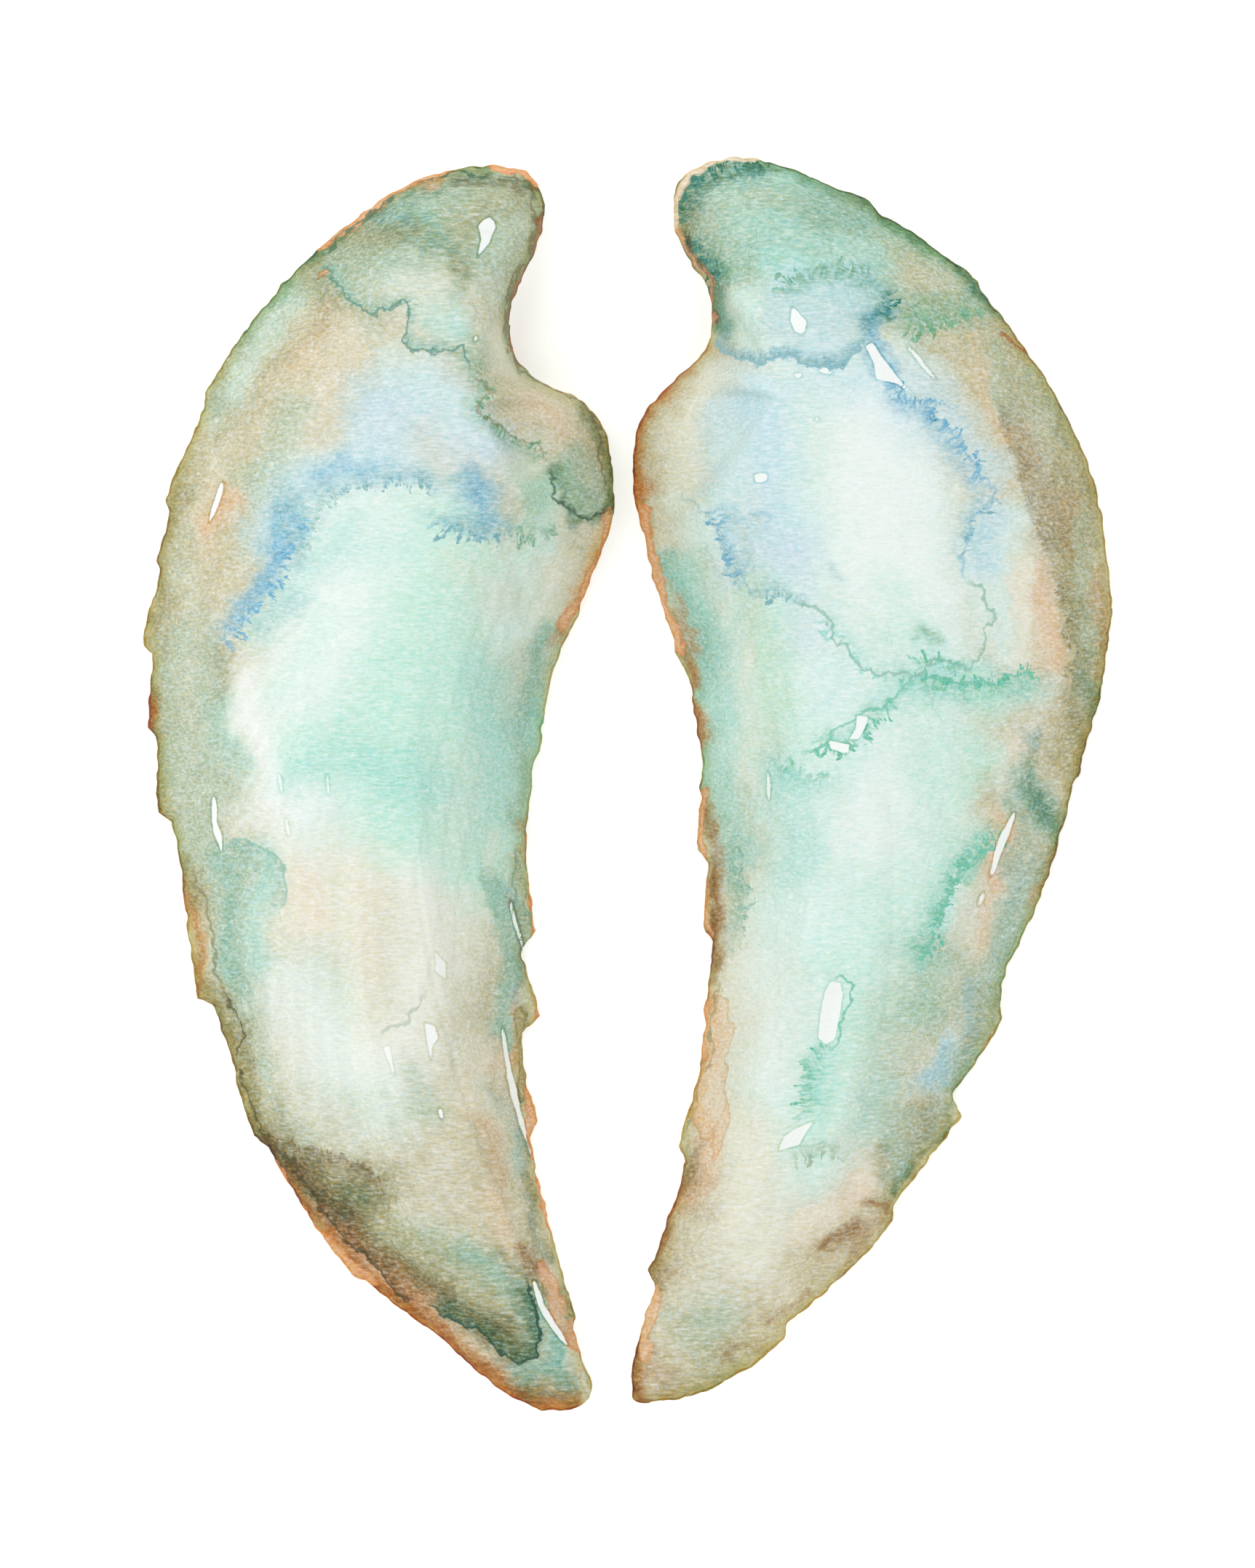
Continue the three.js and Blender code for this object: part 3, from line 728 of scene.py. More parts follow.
    relief = tree.nodes.new("ShaderNodeBump")
    relief.inputs["Strength"].default_value = PIT_STRENGTH
    relief.inputs["Distance"].default_value = PIT_DEPTH
    tree.links.new(add_share(speck, PIT_SPECK, grain), relief.inputs["Height"])
    tree.links.new(relief.outputs["Normal"], surface.inputs["Normal"])
    return finish


LEFT = {
    "name": "left_shell_half", "side": -1, "seed": 11,
    "umbo": (12.0, 30.0), "hinge": (1.2, 24.5), "front_end": (10.5, 49.2), "rear_end": (5.0, -49.9),
    "outline": [
        (9.4, 36.7), (8.9, 39.3), (7.5, 42.2), (6.7, 46.3), (8.1, 48.7), (12.6, 49.1), (17.5, 47.7),
        (22.8, 44.1), (27.7, 39.5), (32.0, 33.7), (34.8, 27.1), (36.6, 21.0), (37.4, 16.1), (37.9, 9.7),
        (37.4, 3.3), (35.9, -4.5), (32.3, -19.6), (27.5, -30.9), (21.0, -39.3), (15.1, -43.9),
        (9.6, -48.6), (6.4, -49.9), (3.8, -49.5), (2.9, -48.1), (3.8, -45.5), (5.4, -38.4), (6.9, -32.6),
        (7.9, -28.0), (8.3, -22.8), (8.4, -14.6), (8.3, -7.1), (7.9, -1.3), (7.0, 4.5), (5.8, 9.4),
        (3.8, 14.1), (2.1, 18.7), (1.2, 21.6), (1.3, 25.4), (2.1, 28.8), (4.2, 30.8), (7.2, 32.2), (9.0, 34.1)],
    "tips": [  # share of the way round, how far out, and the runs along the margin to rise and to fall
        (0.197, 0.5, 7, 4), (0.235, 0.9, 8, 3), (0.256, 0.5, 3.5, 2.5), (0.285, 1.1, 8, 2.5),
        (0.313, 0.8, 7, 2.5), (0.342, 1.4, 8, 3), (0.406, 1.7, 17, 3), (0.456, 0.9, 10, 4.5),
        (0.514, 0.8, 11, 3.5), (0.639, 0.6, 3.5, 4), (0.707, 1.2, 4.5, 6), (0.743, 2.0, 5, 7),
        (0.772, 1.5, 4.5, 11), (0.834, 0.5, 4, 6)],
}
left_points, left_faces, left_facts = build_valve(LEFT)
left_shell = skin_object(LEFT, left_points, left_faces, left_facts)

left = Tints(left_points[:, :2], LEFT["seed"])
# The whole valve took up a thin grey-tan, and its middle is pale mint; the chalk-white washes there are a painted
# highlight, the crown of the dome drawn lighter.
left.washes(
    ("sand", 0.9, 60, 5, (-30, 60), (-30, -60)),
    ("pale aqua", 0.9, 12, 9, (-30, 28), (-30, 8), (-30, -6)),
    ("mint", 0.7, 9, 9, (-24, 24), (-26, 6), (-22, -6)),
    ("chalk", 0.55, 5, 8, (-38, 16), (-31, 28), (-42, 8), (-42, -3)),
    ("mint", 0.75, 2.5, 6, (-40, 3), (-32, 3), (-25, 2)),
    ("aqua", 0.6, 3, 7, (-32, 3), (-20, 0), (-16, 4), (-17, 12)),
    ("aqua", 0.35, 2, 4, (-47, 9), (-47.6, 4)),
    ("aqua", 0.5, 0.9, 3, (-11, 8), (-12, 1)),
    ("aqua", 0.5, 1.8, 4.4, (-42.4, 0.6), (-37, 2)),
    ("aqua", 0.3, 2.6, 6, (-33, 28), (-29, 28)),
    ("aqua", 0.4, 1, 3.2, (-47.4, 9), (-47, 4)),
    ("sea green", 0.22, 3, 6, (-28, -22), (-28, -33)),
    ("sea green", 0.3, 1.6, 4, (-42, -20), (-42, -27)),
    ("pale aqua", 0.4, 1.6, 4, (-16, 23), (-15.6, 19)),
    ("pale aqua", 0.35, 1.2, 3, (-10.4, 31.6), (-10, 28)),
    ("cream", 0.4, 1.2, 3, (-9.4, 31), (-9, 24)),
    ("cream", 0.4, 1, 3, (-10.4, 32), (-9.6, 28)),
    ("pale aqua", 0.35, 1, 3, (-10.6, 31.6), (-9.8, 28)),
    ("aqua", 0.3, 0.7, 2.6, (-10.8, 8), (-11.6, 3)),
    ("aqua", 0.4, 0.7, 2.4, (-11, 8.6), (-11.8, 3)),
    ("pale aqua", 0.3, 1.4, 3.4, (-16.4, 23.4), (-15.6, 19)),
    ("sea green", 0.18, 2.4, 6, (-28, -20), (-28, -34)),
    ("pale aqua", 0.4, 1.4, 3.4, (-16.4, 23.4), (-15.6, 19)),
    ("aqua", 0.35, 0.8, 2.6, (-10.6, 9), (-11.6, 3)),
    ("sea green", 0.3, 1, 3, (-47.6, 9), (-47.4, 4)),
    ("olive", 0.3, 1, 3, (-50, 24), (-50.5, 18)),
    ("chalk", 0.6, 1.6, 4, (-44.6, 12), (-43.4, 5), (-43, -1)),
    ("pale aqua", 0.4, 1, 3, (-46.6, 2), (-46.4, -4)),
    ("sea green", 0.15, 3, 6, (-28, -14), (-27, -26)),
    ("mint", 0.5, 4, 7, (-24, -7), (-17, -9)),
    ("cream", 0.95, 7, 8, (-36, -13), (-26, -17), (-30, -28)),
    ("pale aqua", 0.6, 4, 8, (-38, -24), (-35, -34), (-29, -40)),
    ("chalk", 0.45, 3.5, 6, (-41, -24), (-38, -32), (-26, -34), (-24, -12)),
    ("blush", 0.5, 1.2, 4, (-39, -10), (-37, -17)),
    ("blush", 0.2, 1.5, 4, (-31, -10), (-30, -22)),
    ("sand", 0.7, 3, 6, (-11, 30), (-8, 25), (-12, 21)),
    ("tan", 0.55, 1.5, 4, (-6, 27), (-9, 20)),
    ("pale aqua", 0.75, 2.6, 5, (-13, 27.5), (-11, 22.5), (-14, 18)),
    ("blush", 0.25, 2, 5, (-22, 26), (-17, 22)),
    ("mint", 0.3, 2, 4, (-37, 20), (-40, 10)),
    ("cream", 0.4, 1, 3, (-8.5, 28), (-8.5, 24)))
# The front lobe, sea green with a pale middle and grey-brown where the washes met.
left.washes(
    ("sea green", 0.9, 6, 4, (-37, 63), (-28, 67), (-17, 68.5), (-14, 61), (-15, 53)),
    ("pale aqua", 0.42, 3, 5, (-31, 59.5), (-24, 58), (-20, 55)),
    ("aqua", 0.5, 1.8, 4, (-25, 54.5), (-20, 54)),
    ("moss", 0.4, 0.8, 3.5, (-31, 62.5), (-27, 64.5), (-22, 62.8), (-17.5, 60), (-17, 58)),
    ("olive", 0.55, 1.5, 4, (-32, 66), (-29, 64.5)),
    ("moss", 0.45, 1, 3.5, (-34.5, 64), (-30, 64.6)),
    ("moss", 0.4, 1.2, 4, (-27, 65), (-22, 63.6)),
    ("sepia", 0.3, 0.5, 2.5, (-37.5, 61.6), (-36.6, 58.5), (-38, 54)),
    ("moss", 0.4, 1.2, 4, (-36, 61.8), (-32, 63), (-31, 66.4)),
    ("sea green", 0.5, 2.2, 4, (-35, 60.5), (-30, 60.5), (-25.5, 63)),
    ("moss", 0.25, 2, 4, (-36, 57.5), (-31.5, 56)),
    ("teal", 0.45, 1.6, 4, (-26.5, 66), (-22, 63.4)),
    ("cream", 0.4, 1.2, 3, (-15.4, 54.4), (-14.4, 49.6)),
    ("pale aqua", 0.4, 1.4, 3, (-18, 57), (-20, 54)),
    ("blue", 0.3, 1.4, 4, (-21.6, 34.6), (-16.6, 34.6)),
    ("slate", 0.35, 1, 3, (-22.6, 31), (-15.6, 31)),
    ("slate", 0.35, 1.4, 3.4, (-40.4, 35.4), (-38, 32.6)),
    ("slate", 0.35, 1.2, 3.4, (-42.4, 20), (-39.8, 23)),
    ("sea green", 0.4, 1.4, 4, (-31, 66.8), (-25.5, 67.2)),
    ("moss", 0.35, 1.1, 3, (-34, 66.6), (-30, 68.8)),
    ("bottle", 0.25, 0.8, 2.4, (-33.6, 67.2), (-31, 68.6)),
    ("moss", 0.35, 1.2, 3, (-34, 66.8), (-30.6, 68.6)),
    ("sea green", 0.3, 1.4, 3.4, (-35, 49.6), (-32, 47)),
    ("moss", 0.2, 1.2, 3, (-34.4, 66.6), (-31, 68.6)),
    ("moss", 0.2, 1.4, 3.4, (-29, 66), (-25.4, 66.4)),
    ("sand", 0.4, 1.6, 4, (-34.6, 54), (-32.6, 50.4), (-35, 47)),
    ("sand", 0.35, 1.6, 4, (-34.6, 54), (-33, 49)),
    ("moss", 0.35, 0.9, 2.8, (-34, 67.2), (-31, 69)),
    ("moss", 0.22, 1.2, 3.2, (-28.4, 66.4), (-25, 66.6)),
    ("sand", 0.45, 1.4, 3.6, (-34, 53.4), (-33, 50.6)),
    ("sand", 0.35, 1.2, 3.4, (-34.4, 48.6), (-33.6, 46.6)),
    ("sea green", 0.3, 1.2, 3.2, (-41.6, 37), (-40.6, 34.6)),
    ("sea green", 0.3, 1.2, 3.4, (-44.4, 37), (-43, 33)),
    ("moss", 0.3, 1, 3, (-38.6, 62.4), (-36, 64.4)),
    ("sea green", 0.3, 1.2, 3.2, (-42.6, 37.6), (-39.6, 35)),
    ("moss", 0.25, 1.2, 3, (-28.6, 66.8), (-25.4, 67.4)),
    ("moss", 0.3, 1, 2.8, (-38.4, 62.6), (-36, 64.6)),
    ("rust", 0.3, 0.7, 2.2, (-26.4, 72), (-22.6, 73)),
    ("green", 0.35, 1, 2.8, (-38.4, 62.6), (-36, 64.6)),
    ("moss", 0.22, 1.5, 3.4, (-28.5, 67), (-25, 67.6)),
    ("bottle", 0.3, 0.6, 2.6, (-38.8, 62), (-35, 65)),
    ("sea green", 0.35, 1.4, 3.4, (-25.6, 61), (-22, 61)),
    ("moss", 0.2, 1.4, 3.4, (-34.6, 60), (-31, 60.6)),
    ("moss", 0.3, 1, 3, (-46.5, 52.5), (-50, 46)),
    ("olive", 0.5, 2.2, 4, (-20, 67), (-14, 70), (-13, 64), (-15, 57)),
    ("teal", 0.55, 1.8, 4, (-29, 67.5), (-24, 68), (-23, 65.5)),
    ("slate", 0.35, 0.8, 2.5, (-29.5, 68), (-26, 67)),
    ("moss", 0.3, 0.6, 3, (-25, 66), (-20, 64), (-19, 60)),
    ("bottle", 0.42, 0.4, 2.4, (-36.5, 64), (-33, 66.5), (-28, 69.8), (-23, 72), (-17, 73), (-13, 71.8),
        (-11, 69.3), (-10.9, 67)),
    ("sand", 0.8, 1.8, 3, (-17, 58.5), (-16, 54), (-15.2, 50)),
    ("cream", 0.35, 1.2, 2.6, (-15.8, 54), (-14.6, 50)),
    ("cream", 0.4, 0.8, 2.4, (-15.6, 53), (-15, 50)),
    ("pale aqua", 0.3, 1.4, 3.4, (-16.6, 59.4), (-14.6, 66)),
    ("bottle", 0.42, 0.3, 1.8, (-10.9, 67), (-11.4, 64), (-13.2, 60.3), (-14.6, 56.5), (-14.3, 53), (-13, 50)),
    ("moss", 0.5, 0.6, 2, (-10.4, 71), (-10.6, 67)),
    ("rust", 0.35, 0.4, 1.6, (-31, 69.6), (-26, 72.4), (-20, 74)),
    ("umber", 0.45, 0.5, 1.8, (-20, 72.6), (-14.6, 72), (-11.4, 70.4), (-10.8, 67)))
# The shoulder outside the lobe: pale sea green, then moss and tan.
left.washes(
    ("tan", 0.5, 4, 7, (-39, 52), (-44, 43), (-47, 34), (-49, 27)),
    ("sea green", 0.35, 3, 5, (-51, 18), (-52, 8), (-52, -2)),
    ("sea green", 0.6, 2.2, 4, (-40, 60), (-45, 53), (-49, 46)),
    ("pale aqua", 0.5, 1.2, 3.5, (-42, 57), (-46, 51), (-47, 49)),
    ("deep teal", 0.5, 0.3, 2.2, (-37, 63.3), (-41, 60.3), (-44, 57), (-46, 54)),
    ("moss", 0.32, 0.6, 3.5, (-37.5, 61), (-38, 55), (-42, 51), (-45, 46), (-49, 42)),
    ("sea green", 0.25, 3, 5, (-42, 46), (-44, 38)),
    ("pale aqua", 0.3, 1.6, 5, (-39, 46), (-42.6, 36)),
    ("peach", 0.25, 1.2, 5, (-37, 56), (-40, 50.5), (-44, 46), (-44.5, 41)),
    ("sand", 0.5, 2, 5, (-35, 52), (-37, 44)),
    ("blush", 0.35, 1.6, 5, (-33, 53), (-37, 48), (-40, 42)),
    ("sea green", 0.4, 1.5, 4, (-41, 45), (-43, 36), (-46, 28)),
    ("olive", 0.35, 1.1, 3, (-49, 49.6), (-45.6, 54)),
    ("sea green", 0.4, 1.4, 3.4, (-45.6, 54), (-42, 58)),
    ("olive", 0.35, 1.2, 3, (-38.6, 59.6), (-38, 56)),
    ("green", 0.35, 0.8, 2.6, (-42.6, 59), (-38.5, 62.6), (-34.6, 65.4)))
# Sky blue behind the lobe, and the strong blue arc where it dried.
left.washes(
    ("sky", 0.8, 4, 7, (-31, 44), (-24, 46), (-18, 42)),
    ("pale aqua", 0.4, 3, 6, (-27, 49), (-22, 44)),
    ("lavender", 0.22, 2.5, 5, (-31, 42), (-23, 40), (-16, 41)),
    ("sky", 0.7, 2.5, 6, (-44, 29), (-38, 37), (-30, 39)),
    ("aqua", 0.4, 1.5, 4, (-34, 31), (-40, 24), (-43, 19)),
    ("blue", 0.75, 0.8, 2.8, (-45.2, 22), (-43, 25), (-42, 28.5), (-41, 32.8)),
    ("blue", 0.35, 0.5, 1.8, (-44.5, 28.3), (-43, 28)))
left.bloom("blue", 0.6, 4.5, (-48, 15.5), (-44, 20.5), (-41, 23.5), (-40, 27), (-38.6, 30), (-37.3, 32.4))
left.bloom("teal", 0.35, 2.5, (-39.4, 26), (-38, 29.5), (-36.6, 32.4), (-34.8, 33.9), (-32.6, 34.4))
left.washes(
    ("slate", 0.6, 1, 3, (-40.6, 30.5), (-39.2, 33.6)),
    ("blue", 0.6, 1, 3.4, (-36.8, 36.8), (-34.5, 38.6), (-32.5, 37.2)),
    ("blue", 0.25, 0.8, 3, (-32, 37.6), (-26, 37.2)))
left.bloom("slate", 0.5, 3.5, (-37.6, 33), (-34.8, 34.3), (-31, 35.3), (-27, 36), (-24, 35.4), (-22.6, 33.4))
left.washes(
    ("blue", 0.75, 1.2, 3.6, (-20.4, 36.8), (-19.2, 33.5), (-17.6, 31.4)),
    ("slate", 0.3, 0.5, 1.8, (-25.8, 32.4), (-25.2, 31.2)))
left.bloom("slate", 0.6, 5, (-23.6, 32), (-21.4, 29.6), (-18.6, 29), (-16, 29.2), (-13.8, 30.6))
left.bloom("green", 0.45, 4, (-15.4, 30.4), (-13.4, 29.8), (-11.4, 29), (-9.4, 29.6), (-8.2, 32))
left.washes(
    ("green", 0.55, 1.2, 3.5, (-12, 32.5), (-10.5, 34.6), (-8.6, 36.8)),
    ("mint", 0.6, 1.6, 4, (-13.4, 37), (-11.6, 34.6), (-10, 30.5)),
    ("cream", 0.55, 1.4, 3, (-8.2, 31), (-7.8, 26)),
    ("slate", 0.45, 1.1, 3, (-40.6, 34.6), (-39, 31), (-39.4, 27.6)),
    ("cream", 0.6, 1, 2.5, (-13.2, 38.3), (-12.4, 37)))
# The hinge flange: tan, with a dark green lobe that pooled at its lower end.
left.washes(
    ("tan", 0.7, 3.2, 4, (-14.5, 46.5), (-9, 43.5), (-5.5, 41.5)),
    ("blush", 0.4, 1.6, 3.5, (-14, 46), (-9, 42.6)),
    ("peach", 0.45, 1, 3.5, (-13, 47), (-9, 43)),
    ("olive", 0.35, 0.8, 2.6, (-5, 44.5), (-3.5, 40)),
    ("sea green", 0.75, 2.8, 2.5, (-6, 38.5), (-5, 34.5)),
    ("olive", 0.3, 1.2, 3, (-5, 41.6), (-4, 38.6)),
    ("sand", 0.3, 1, 3, (-6.4, 41), (-5.4, 37)),
    ("tan", 0.35, 1, 3, (-5, 42), (-3.8, 39.6)),
    ("cream", 0.35, 1.4, 3.4, (-15.4, 53), (-12.4, 48.4), (-8, 45)),
    ("bottle", 0.35, 0.4, 1.6, (-6.4, 32), (-3.4, 32.2), (-2.5, 35)),
    ("green", 0.3, 1.5, 3, (-8.5, 36.5), (-6.5, 34)),
    ("bottle", 0.5, 0.3, 2.2, (-9.5, 37.5), (-8, 33.8), (-6, 31.8), (-4, 31.6), (-2.3, 33.3), (-2.3, 38),
        (-3.4, 42), (-6, 45)))
left.bloom("green", 0.65, 2.5, (-9.6, 38), (-11.5, 40.3), (-14.5, 41.7), (-17.5, 44.5), (-16, 47.6), (-18.5, 49.5))
# The outer band: olive and tan, with rust at the broken tips. Its darker olive is partly painted shade, where the
# dome falls away to the margin.
left.washes(
    ("olive", 0.6, 2.2, 4, (-52.5, 42), (-55, 30), (-56, 18), (-55.5, 2), (-54, -8)),
    ("sea green", 0.5, 1.5, 3.5, (-54, 18), (-54, 8), (-53, 0)),
    ("moss", 0.3, 0.8, 2.5, (-54, 36), (-55.5, 27), (-56.5, 18)),
    ("sea green", 0.5, 1.5, 4, (-48.5, 16), (-49, 5), (-50, -5)),
    ("peach", 0.3, 1, 4, (-50, 36), (-51.5, 27)),
    ("apricot", 0.6, 1.1, 3, (-49.8, 30.8), (-47.8, 31.8), (-46.6, 34.3)),
    ("moss", 0.35, 0.6, 3, (-47.8, 17.5), (-47.8, 11)),
    ("rust", 0.6, 0.4, 2, (-56.8, 10.5), (-56.3, 6.8)),
    ("moss", 0.5, 1.2, 3.2, (-57, 6), (-55.8, -2), (-53.4, -8.6), (-51.8, -13)),
    ("sepia", 0.35, 0.4, 2, (-57.3, 10), (-56.8, 4)),
    ("rust", 0.45, 0.4, 1.8, (-57.5, 11), (-57, 5)))
# The teal bay of the outer side, with a hard line where it dried.
left.washes(
    ("sea green", 0.5, 2.2, 4, (-45.5, -9), (-45, -14), (-45.5, -26), (-45, -34)))
left.bloom("teal", 0.4, -3, (-48.2, -8), (-47, -6.5), (-45.5, -7), (-43, -7.7), (-41.5, -9), (-40.7, -11.5),
           (-40.6, -14), (-41, -16.5), fray=0.1)
left.washes(
    ("teal", 0.75, 1.5, 4, (-48.5, -9), (-47.5, -15), (-46.5, -24)),
    ("aqua", 0.6, 1.6, 3.5, (-43.8, -9.5), (-43.3, -14), (-43, -20)),
    ("tan", 0.9, 1.5, 2.5, (-53.8, -9), (-52, -17), (-50.5, -26)),
    ("rust", 0.62, 0.5, 2.2, (-53, -10), (-52, -17), (-50.6, -24)),
    ("olive", 0.6, 0.7, 2, (-50, -23), (-49.2, -27.5)),
    ("sea green", 0.45, 0.9, 2.6, (-49.6, -14), (-48.4, -22), (-46.4, -27.5)),
    ("moss", 0.4, 0.9, 2.4, (-54.6, -6), (-51.2, -13.5)),
    ("sea green", 0.5, 0.9, 2.8, (-54.8, -5.6), (-53, -10)),
    ("moss", 0.35, 0.8, 2.6, (-56.6, 1), (-55.4, -4)),
    ("moss", 0.4, 0.7, 2.4, (-56.8, 12), (-56.4, 6)),
    ("sepia", 0.3, 0.6, 2.2, (-57, 12), (-57, 5)),
    ("olive", 0.35, 1, 3, (-55.4, -5), (-53.6, -9.4)),
    ("olive", 0.35, 1, 3, (-55.4, -5.6), (-53.6, -9.8)),
    ("moss", 0.25, 1, 2.8, (-55, -5.4), (-53.6, -9.6)),
    ("moss", 0.2, 0.9, 2.8, (-56.8, 0.6), (-56, -4)),
    ("umber", 0.16, 0.7, 2.4, (-57.2, 11), (-57, 5.4)),
    ("sea green", 0.35, 1.2, 3, (-50.6, -5), (-50, -9), (-49.4, -14)),
    ("olive", 0.3, 0.8, 2.4, (-55.8, 7), (-55, -3)),
    ("olive", 0.35, 1, 3, (-55, -5), (-53.4, -9.6)),
    ("moss", 0.2, 1, 3, (-54.6, -6), (-53, -10)),
    ("sea green", 0.3, 1.2, 3, (-46.4, -24), (-45.4, -28)),
    ("moss", 0.25, 1, 2.6, (-56.6, 11), (-56.8, 5)),
    ("sea green", 0.3, 1, 3, (-52.6, 30), (-53.4, 22)),
    ("olive", 0.3, 0.9, 2.6, (-47.6, -24), (-46.2, -28)),
    ("moss", 0.3, 0.8, 2.4, (-48.2, -24), (-46.8, -28.6)),
    ("moss", 0.3, 0.8, 2.4, (-56.8, 0), (-55.8, -3.4)),
    ("sea green", 0.35, 0.9, 2.8, (-54.6, -7), (-53.4, -9.6)),
    ("olive", 0.4, 1, 2.8, (-51.8, -10.5), (-50.4, -15.5)),
    ("olive", 0.5, 1, 2.8, (-47.8, -23.5), (-46.8, -29)),
    ("sepia", 0.25, 0.6, 2, (-52.4, -20), (-51, -25)),
    ("olive", 0.75, 1.2, 2.5, (-47.3, -29), (-46.5, -35), (-44.5, -41)),
    ("moss", 0.55, 0.8, 2.6, (-49.5, -27), (-46.6, -29.5), (-46, -36), (-44.8, -41.2)),
    ("sea green", 0.5, 1, 4, (-43.5, -33), (-42, -39), (-38, -42)))
# The hinge side: teal and grey-green, brown where the fingers of the margin part.
left.washes(
    ("teal", 0.75, 1.2, 3.5, (-9.8, 18), (-11.5, 11), (-12.8, 3), (-13.5, -4)),
    ("aqua", 0.6, 2, 5, (-15.5, 6), (-17, -6)),
    ("rust", 0.6, 0.35, 1.8, (-2.2, 30.5), (-4, 26.5), (-6.2, 22), (-9.2, 17)),
    ("peach", 0.6, 0.6, 2.2, (-3.5, 30), (-5.5, 25), (-8, 20)),
    ("teal", 0.6, 1.5, 1.2, (-16.4, -9.5), (-16, -15), (-14.8, -21), (-14.2, -30)),
    ("slate", 0.4, 0.8, 2, (-14.4, -12), (-13.2, -20), (-12.8, -26)),
    ("sea green", 0.5, 1.5, 3, (-17, -22), (-16.5, -30)),
    ("cream", 0.6, 0.7, 2.5, (-16.6, -5.5), (-16, -9)),
    ("sea green", 0.6, 1, 2.4, (-12.6, 3), (-13, -6), (-13, -12)),
    ("pale aqua", 0.3, 0.5, 2, (-11.8, 5), (-12.6, -3)),
    ("teal", 0.25, 1, 3, (-10.6, 18), (-12.4, 9)),
    ("cream", 0.5, 1.2, 3, (-8.4, 28), (-10.8, 21)),
    ("pale aqua", 0.35, 1, 3, (-10.6, 31.6), (-9.8, 28.4)),
    ("pale aqua", 0.4, 1, 3, (-12, 31.4), (-10.6, 29)),
    ("cream", 0.3, 1.2, 3, (-9, 27), (-11, 21)),
    ("olive", 0.9, 0.9, 1.6, (-12.6, -27), (-12.1, -33), (-12.6, -37)),
    ("tan", 0.45, 3, 5, (-18, -40), (-18, -48), (-19, -54)),
    ("sand", 0.5, 3, 6, (-25, -44), (-24, -52)),
    ("peach", 0.35, 0.8, 3.5, (-17.5, -22), (-17, -32), (-18, -40)),
    ("peach", 0.5, 1.2, 4, (-17.5, -50), (-15, -55)),
    ("sepia", 0.35, 0.2, 1.8, (-14.9, -13), (-13.2, -21), (-12.6, -26)),
    ("sepia", 0.3, 0.2, 1.8, (-15.5, -30), (-14.6, -38), (-13, -45)),
    ("teal", 0.4, 0.7, 2.4, (-15, -35), (-14, -46)),
    ("slate", 0.35, 0.5, 1.6, (-14.8, -37), (-13.8, -42), (-13.2, -48)),
    ("rust", 0.25, 0.8, 2.4, (-17, -40), (-16.2, -48)),
    ("cream", 0.45, 1.4, 3.4, (-18.4, -29), (-18, -36)),
    ("cream", 0.5, 0.9, 3, (-15.8, -31), (-15.8, -40)),
    ("peach", 0.35, 0.6, 2, (-14.8, -31), (-14.2, -40)),
    ("olive", 0.4, 1.2, 3, (-13.6, -49), (-12.4, -54.6)),
    ("moss", 0.6, 0.8, 2, (-12.6, -46.5), (-10.4, -56)),
    ("moss", 0.35, 1, 3, (-12, -58.6), (-9.4, -62.6)),
    ("moss", 0.4, 0.5, 1.8, (-9.4, -60), (-7.6, -65)),
    ("teal", 0.3, 1.2, 3, (-8.8, -68), (-7.2, -72)),
    ("rust", 0.5, 0.6, 1.6, (-15, -73), (-12, -74.2), (-8.5, -74.4)),
    ("teal", 0.5, 0.7, 2, (-9.6, -64.4), (-8.4, -68.4)),
    ("slate", 0.4, 0.2, 1, (-12.5, -49), (-9.8, -56.5)),
    ("sea green", 0.4, 1.8, 3.5, (-25.5, -35), (-24, -39)))
# The rear: a dark moss bank, a rust edge outside it and the teal tip.
left.washes(
    ("moss", 0.7, 2.6, 4.5, (-42, -44.6), (-36.5, -47.8), (-32, -50)),
    ("umber", 0.75, 1.4, 3.4, (-43, -42.8), (-38.5, -46.4), (-35, -50.5), (-32, -54)),
    ("moss", 0.35, 0.8, 3, (-37, -45.8), (-31, -47.8), (-29.6, -50.5)),
    ("umber", 0.5, 1, 2.8, (-36.5, -51.5), (-31.6, -55.2)),
    ("moss", 0.6, 1, 3.4, (-32, -46), (-28.8, -48.4), (-28.6, -52)),
    ("moss", 0.5, 1, 3, (-44.4, -40.4), (-40, -43), (-36, -46.4)),
    ("bottle", 0.25, 1, 2.8, (-37, -48), (-34.4, -51)),
    ("olive", 0.4, 1, 3.5, (-35, -43.6), (-30.5, -45)),
    ("bottle", 0.4, 1.2, 3.5, (-33, -48.4), (-29.8, -50.6)))
left.bloom("umber", 0.35, -4, (-44, -40.6), (-41.5, -42.2), (-38.5, -42.8), (-35, -44), (-31.5, -45.2),
           (-29, -46.8), (-28.4, -49), fray=0.4)
left.washes(
    ("sea green", 0.8, 2.5, 5, (-27, -55), (-20, -58), (-14, -63)),
    ("olive", 0.6, 2, 4.5, (-26, -57), (-19, -61), (-14, -65)),
    ("teal", 0.5, 1, 3.5, (-20, -57), (-13.5, -60.5), (-12, -65)),
    ("moss", 0.6, 1, 3.5, (-24, -60.5), (-18, -63.5), (-13.5, -66.5)))
left.bloom("umber", 0.6, 3.5, (-40.6, -45.2), (-37.7, -49), (-35.3, -52.5), (-32.8, -55.5), (-31, -56.6),
           (-27.5, -60.6), (-24.4, -62.2), fray=0.2)
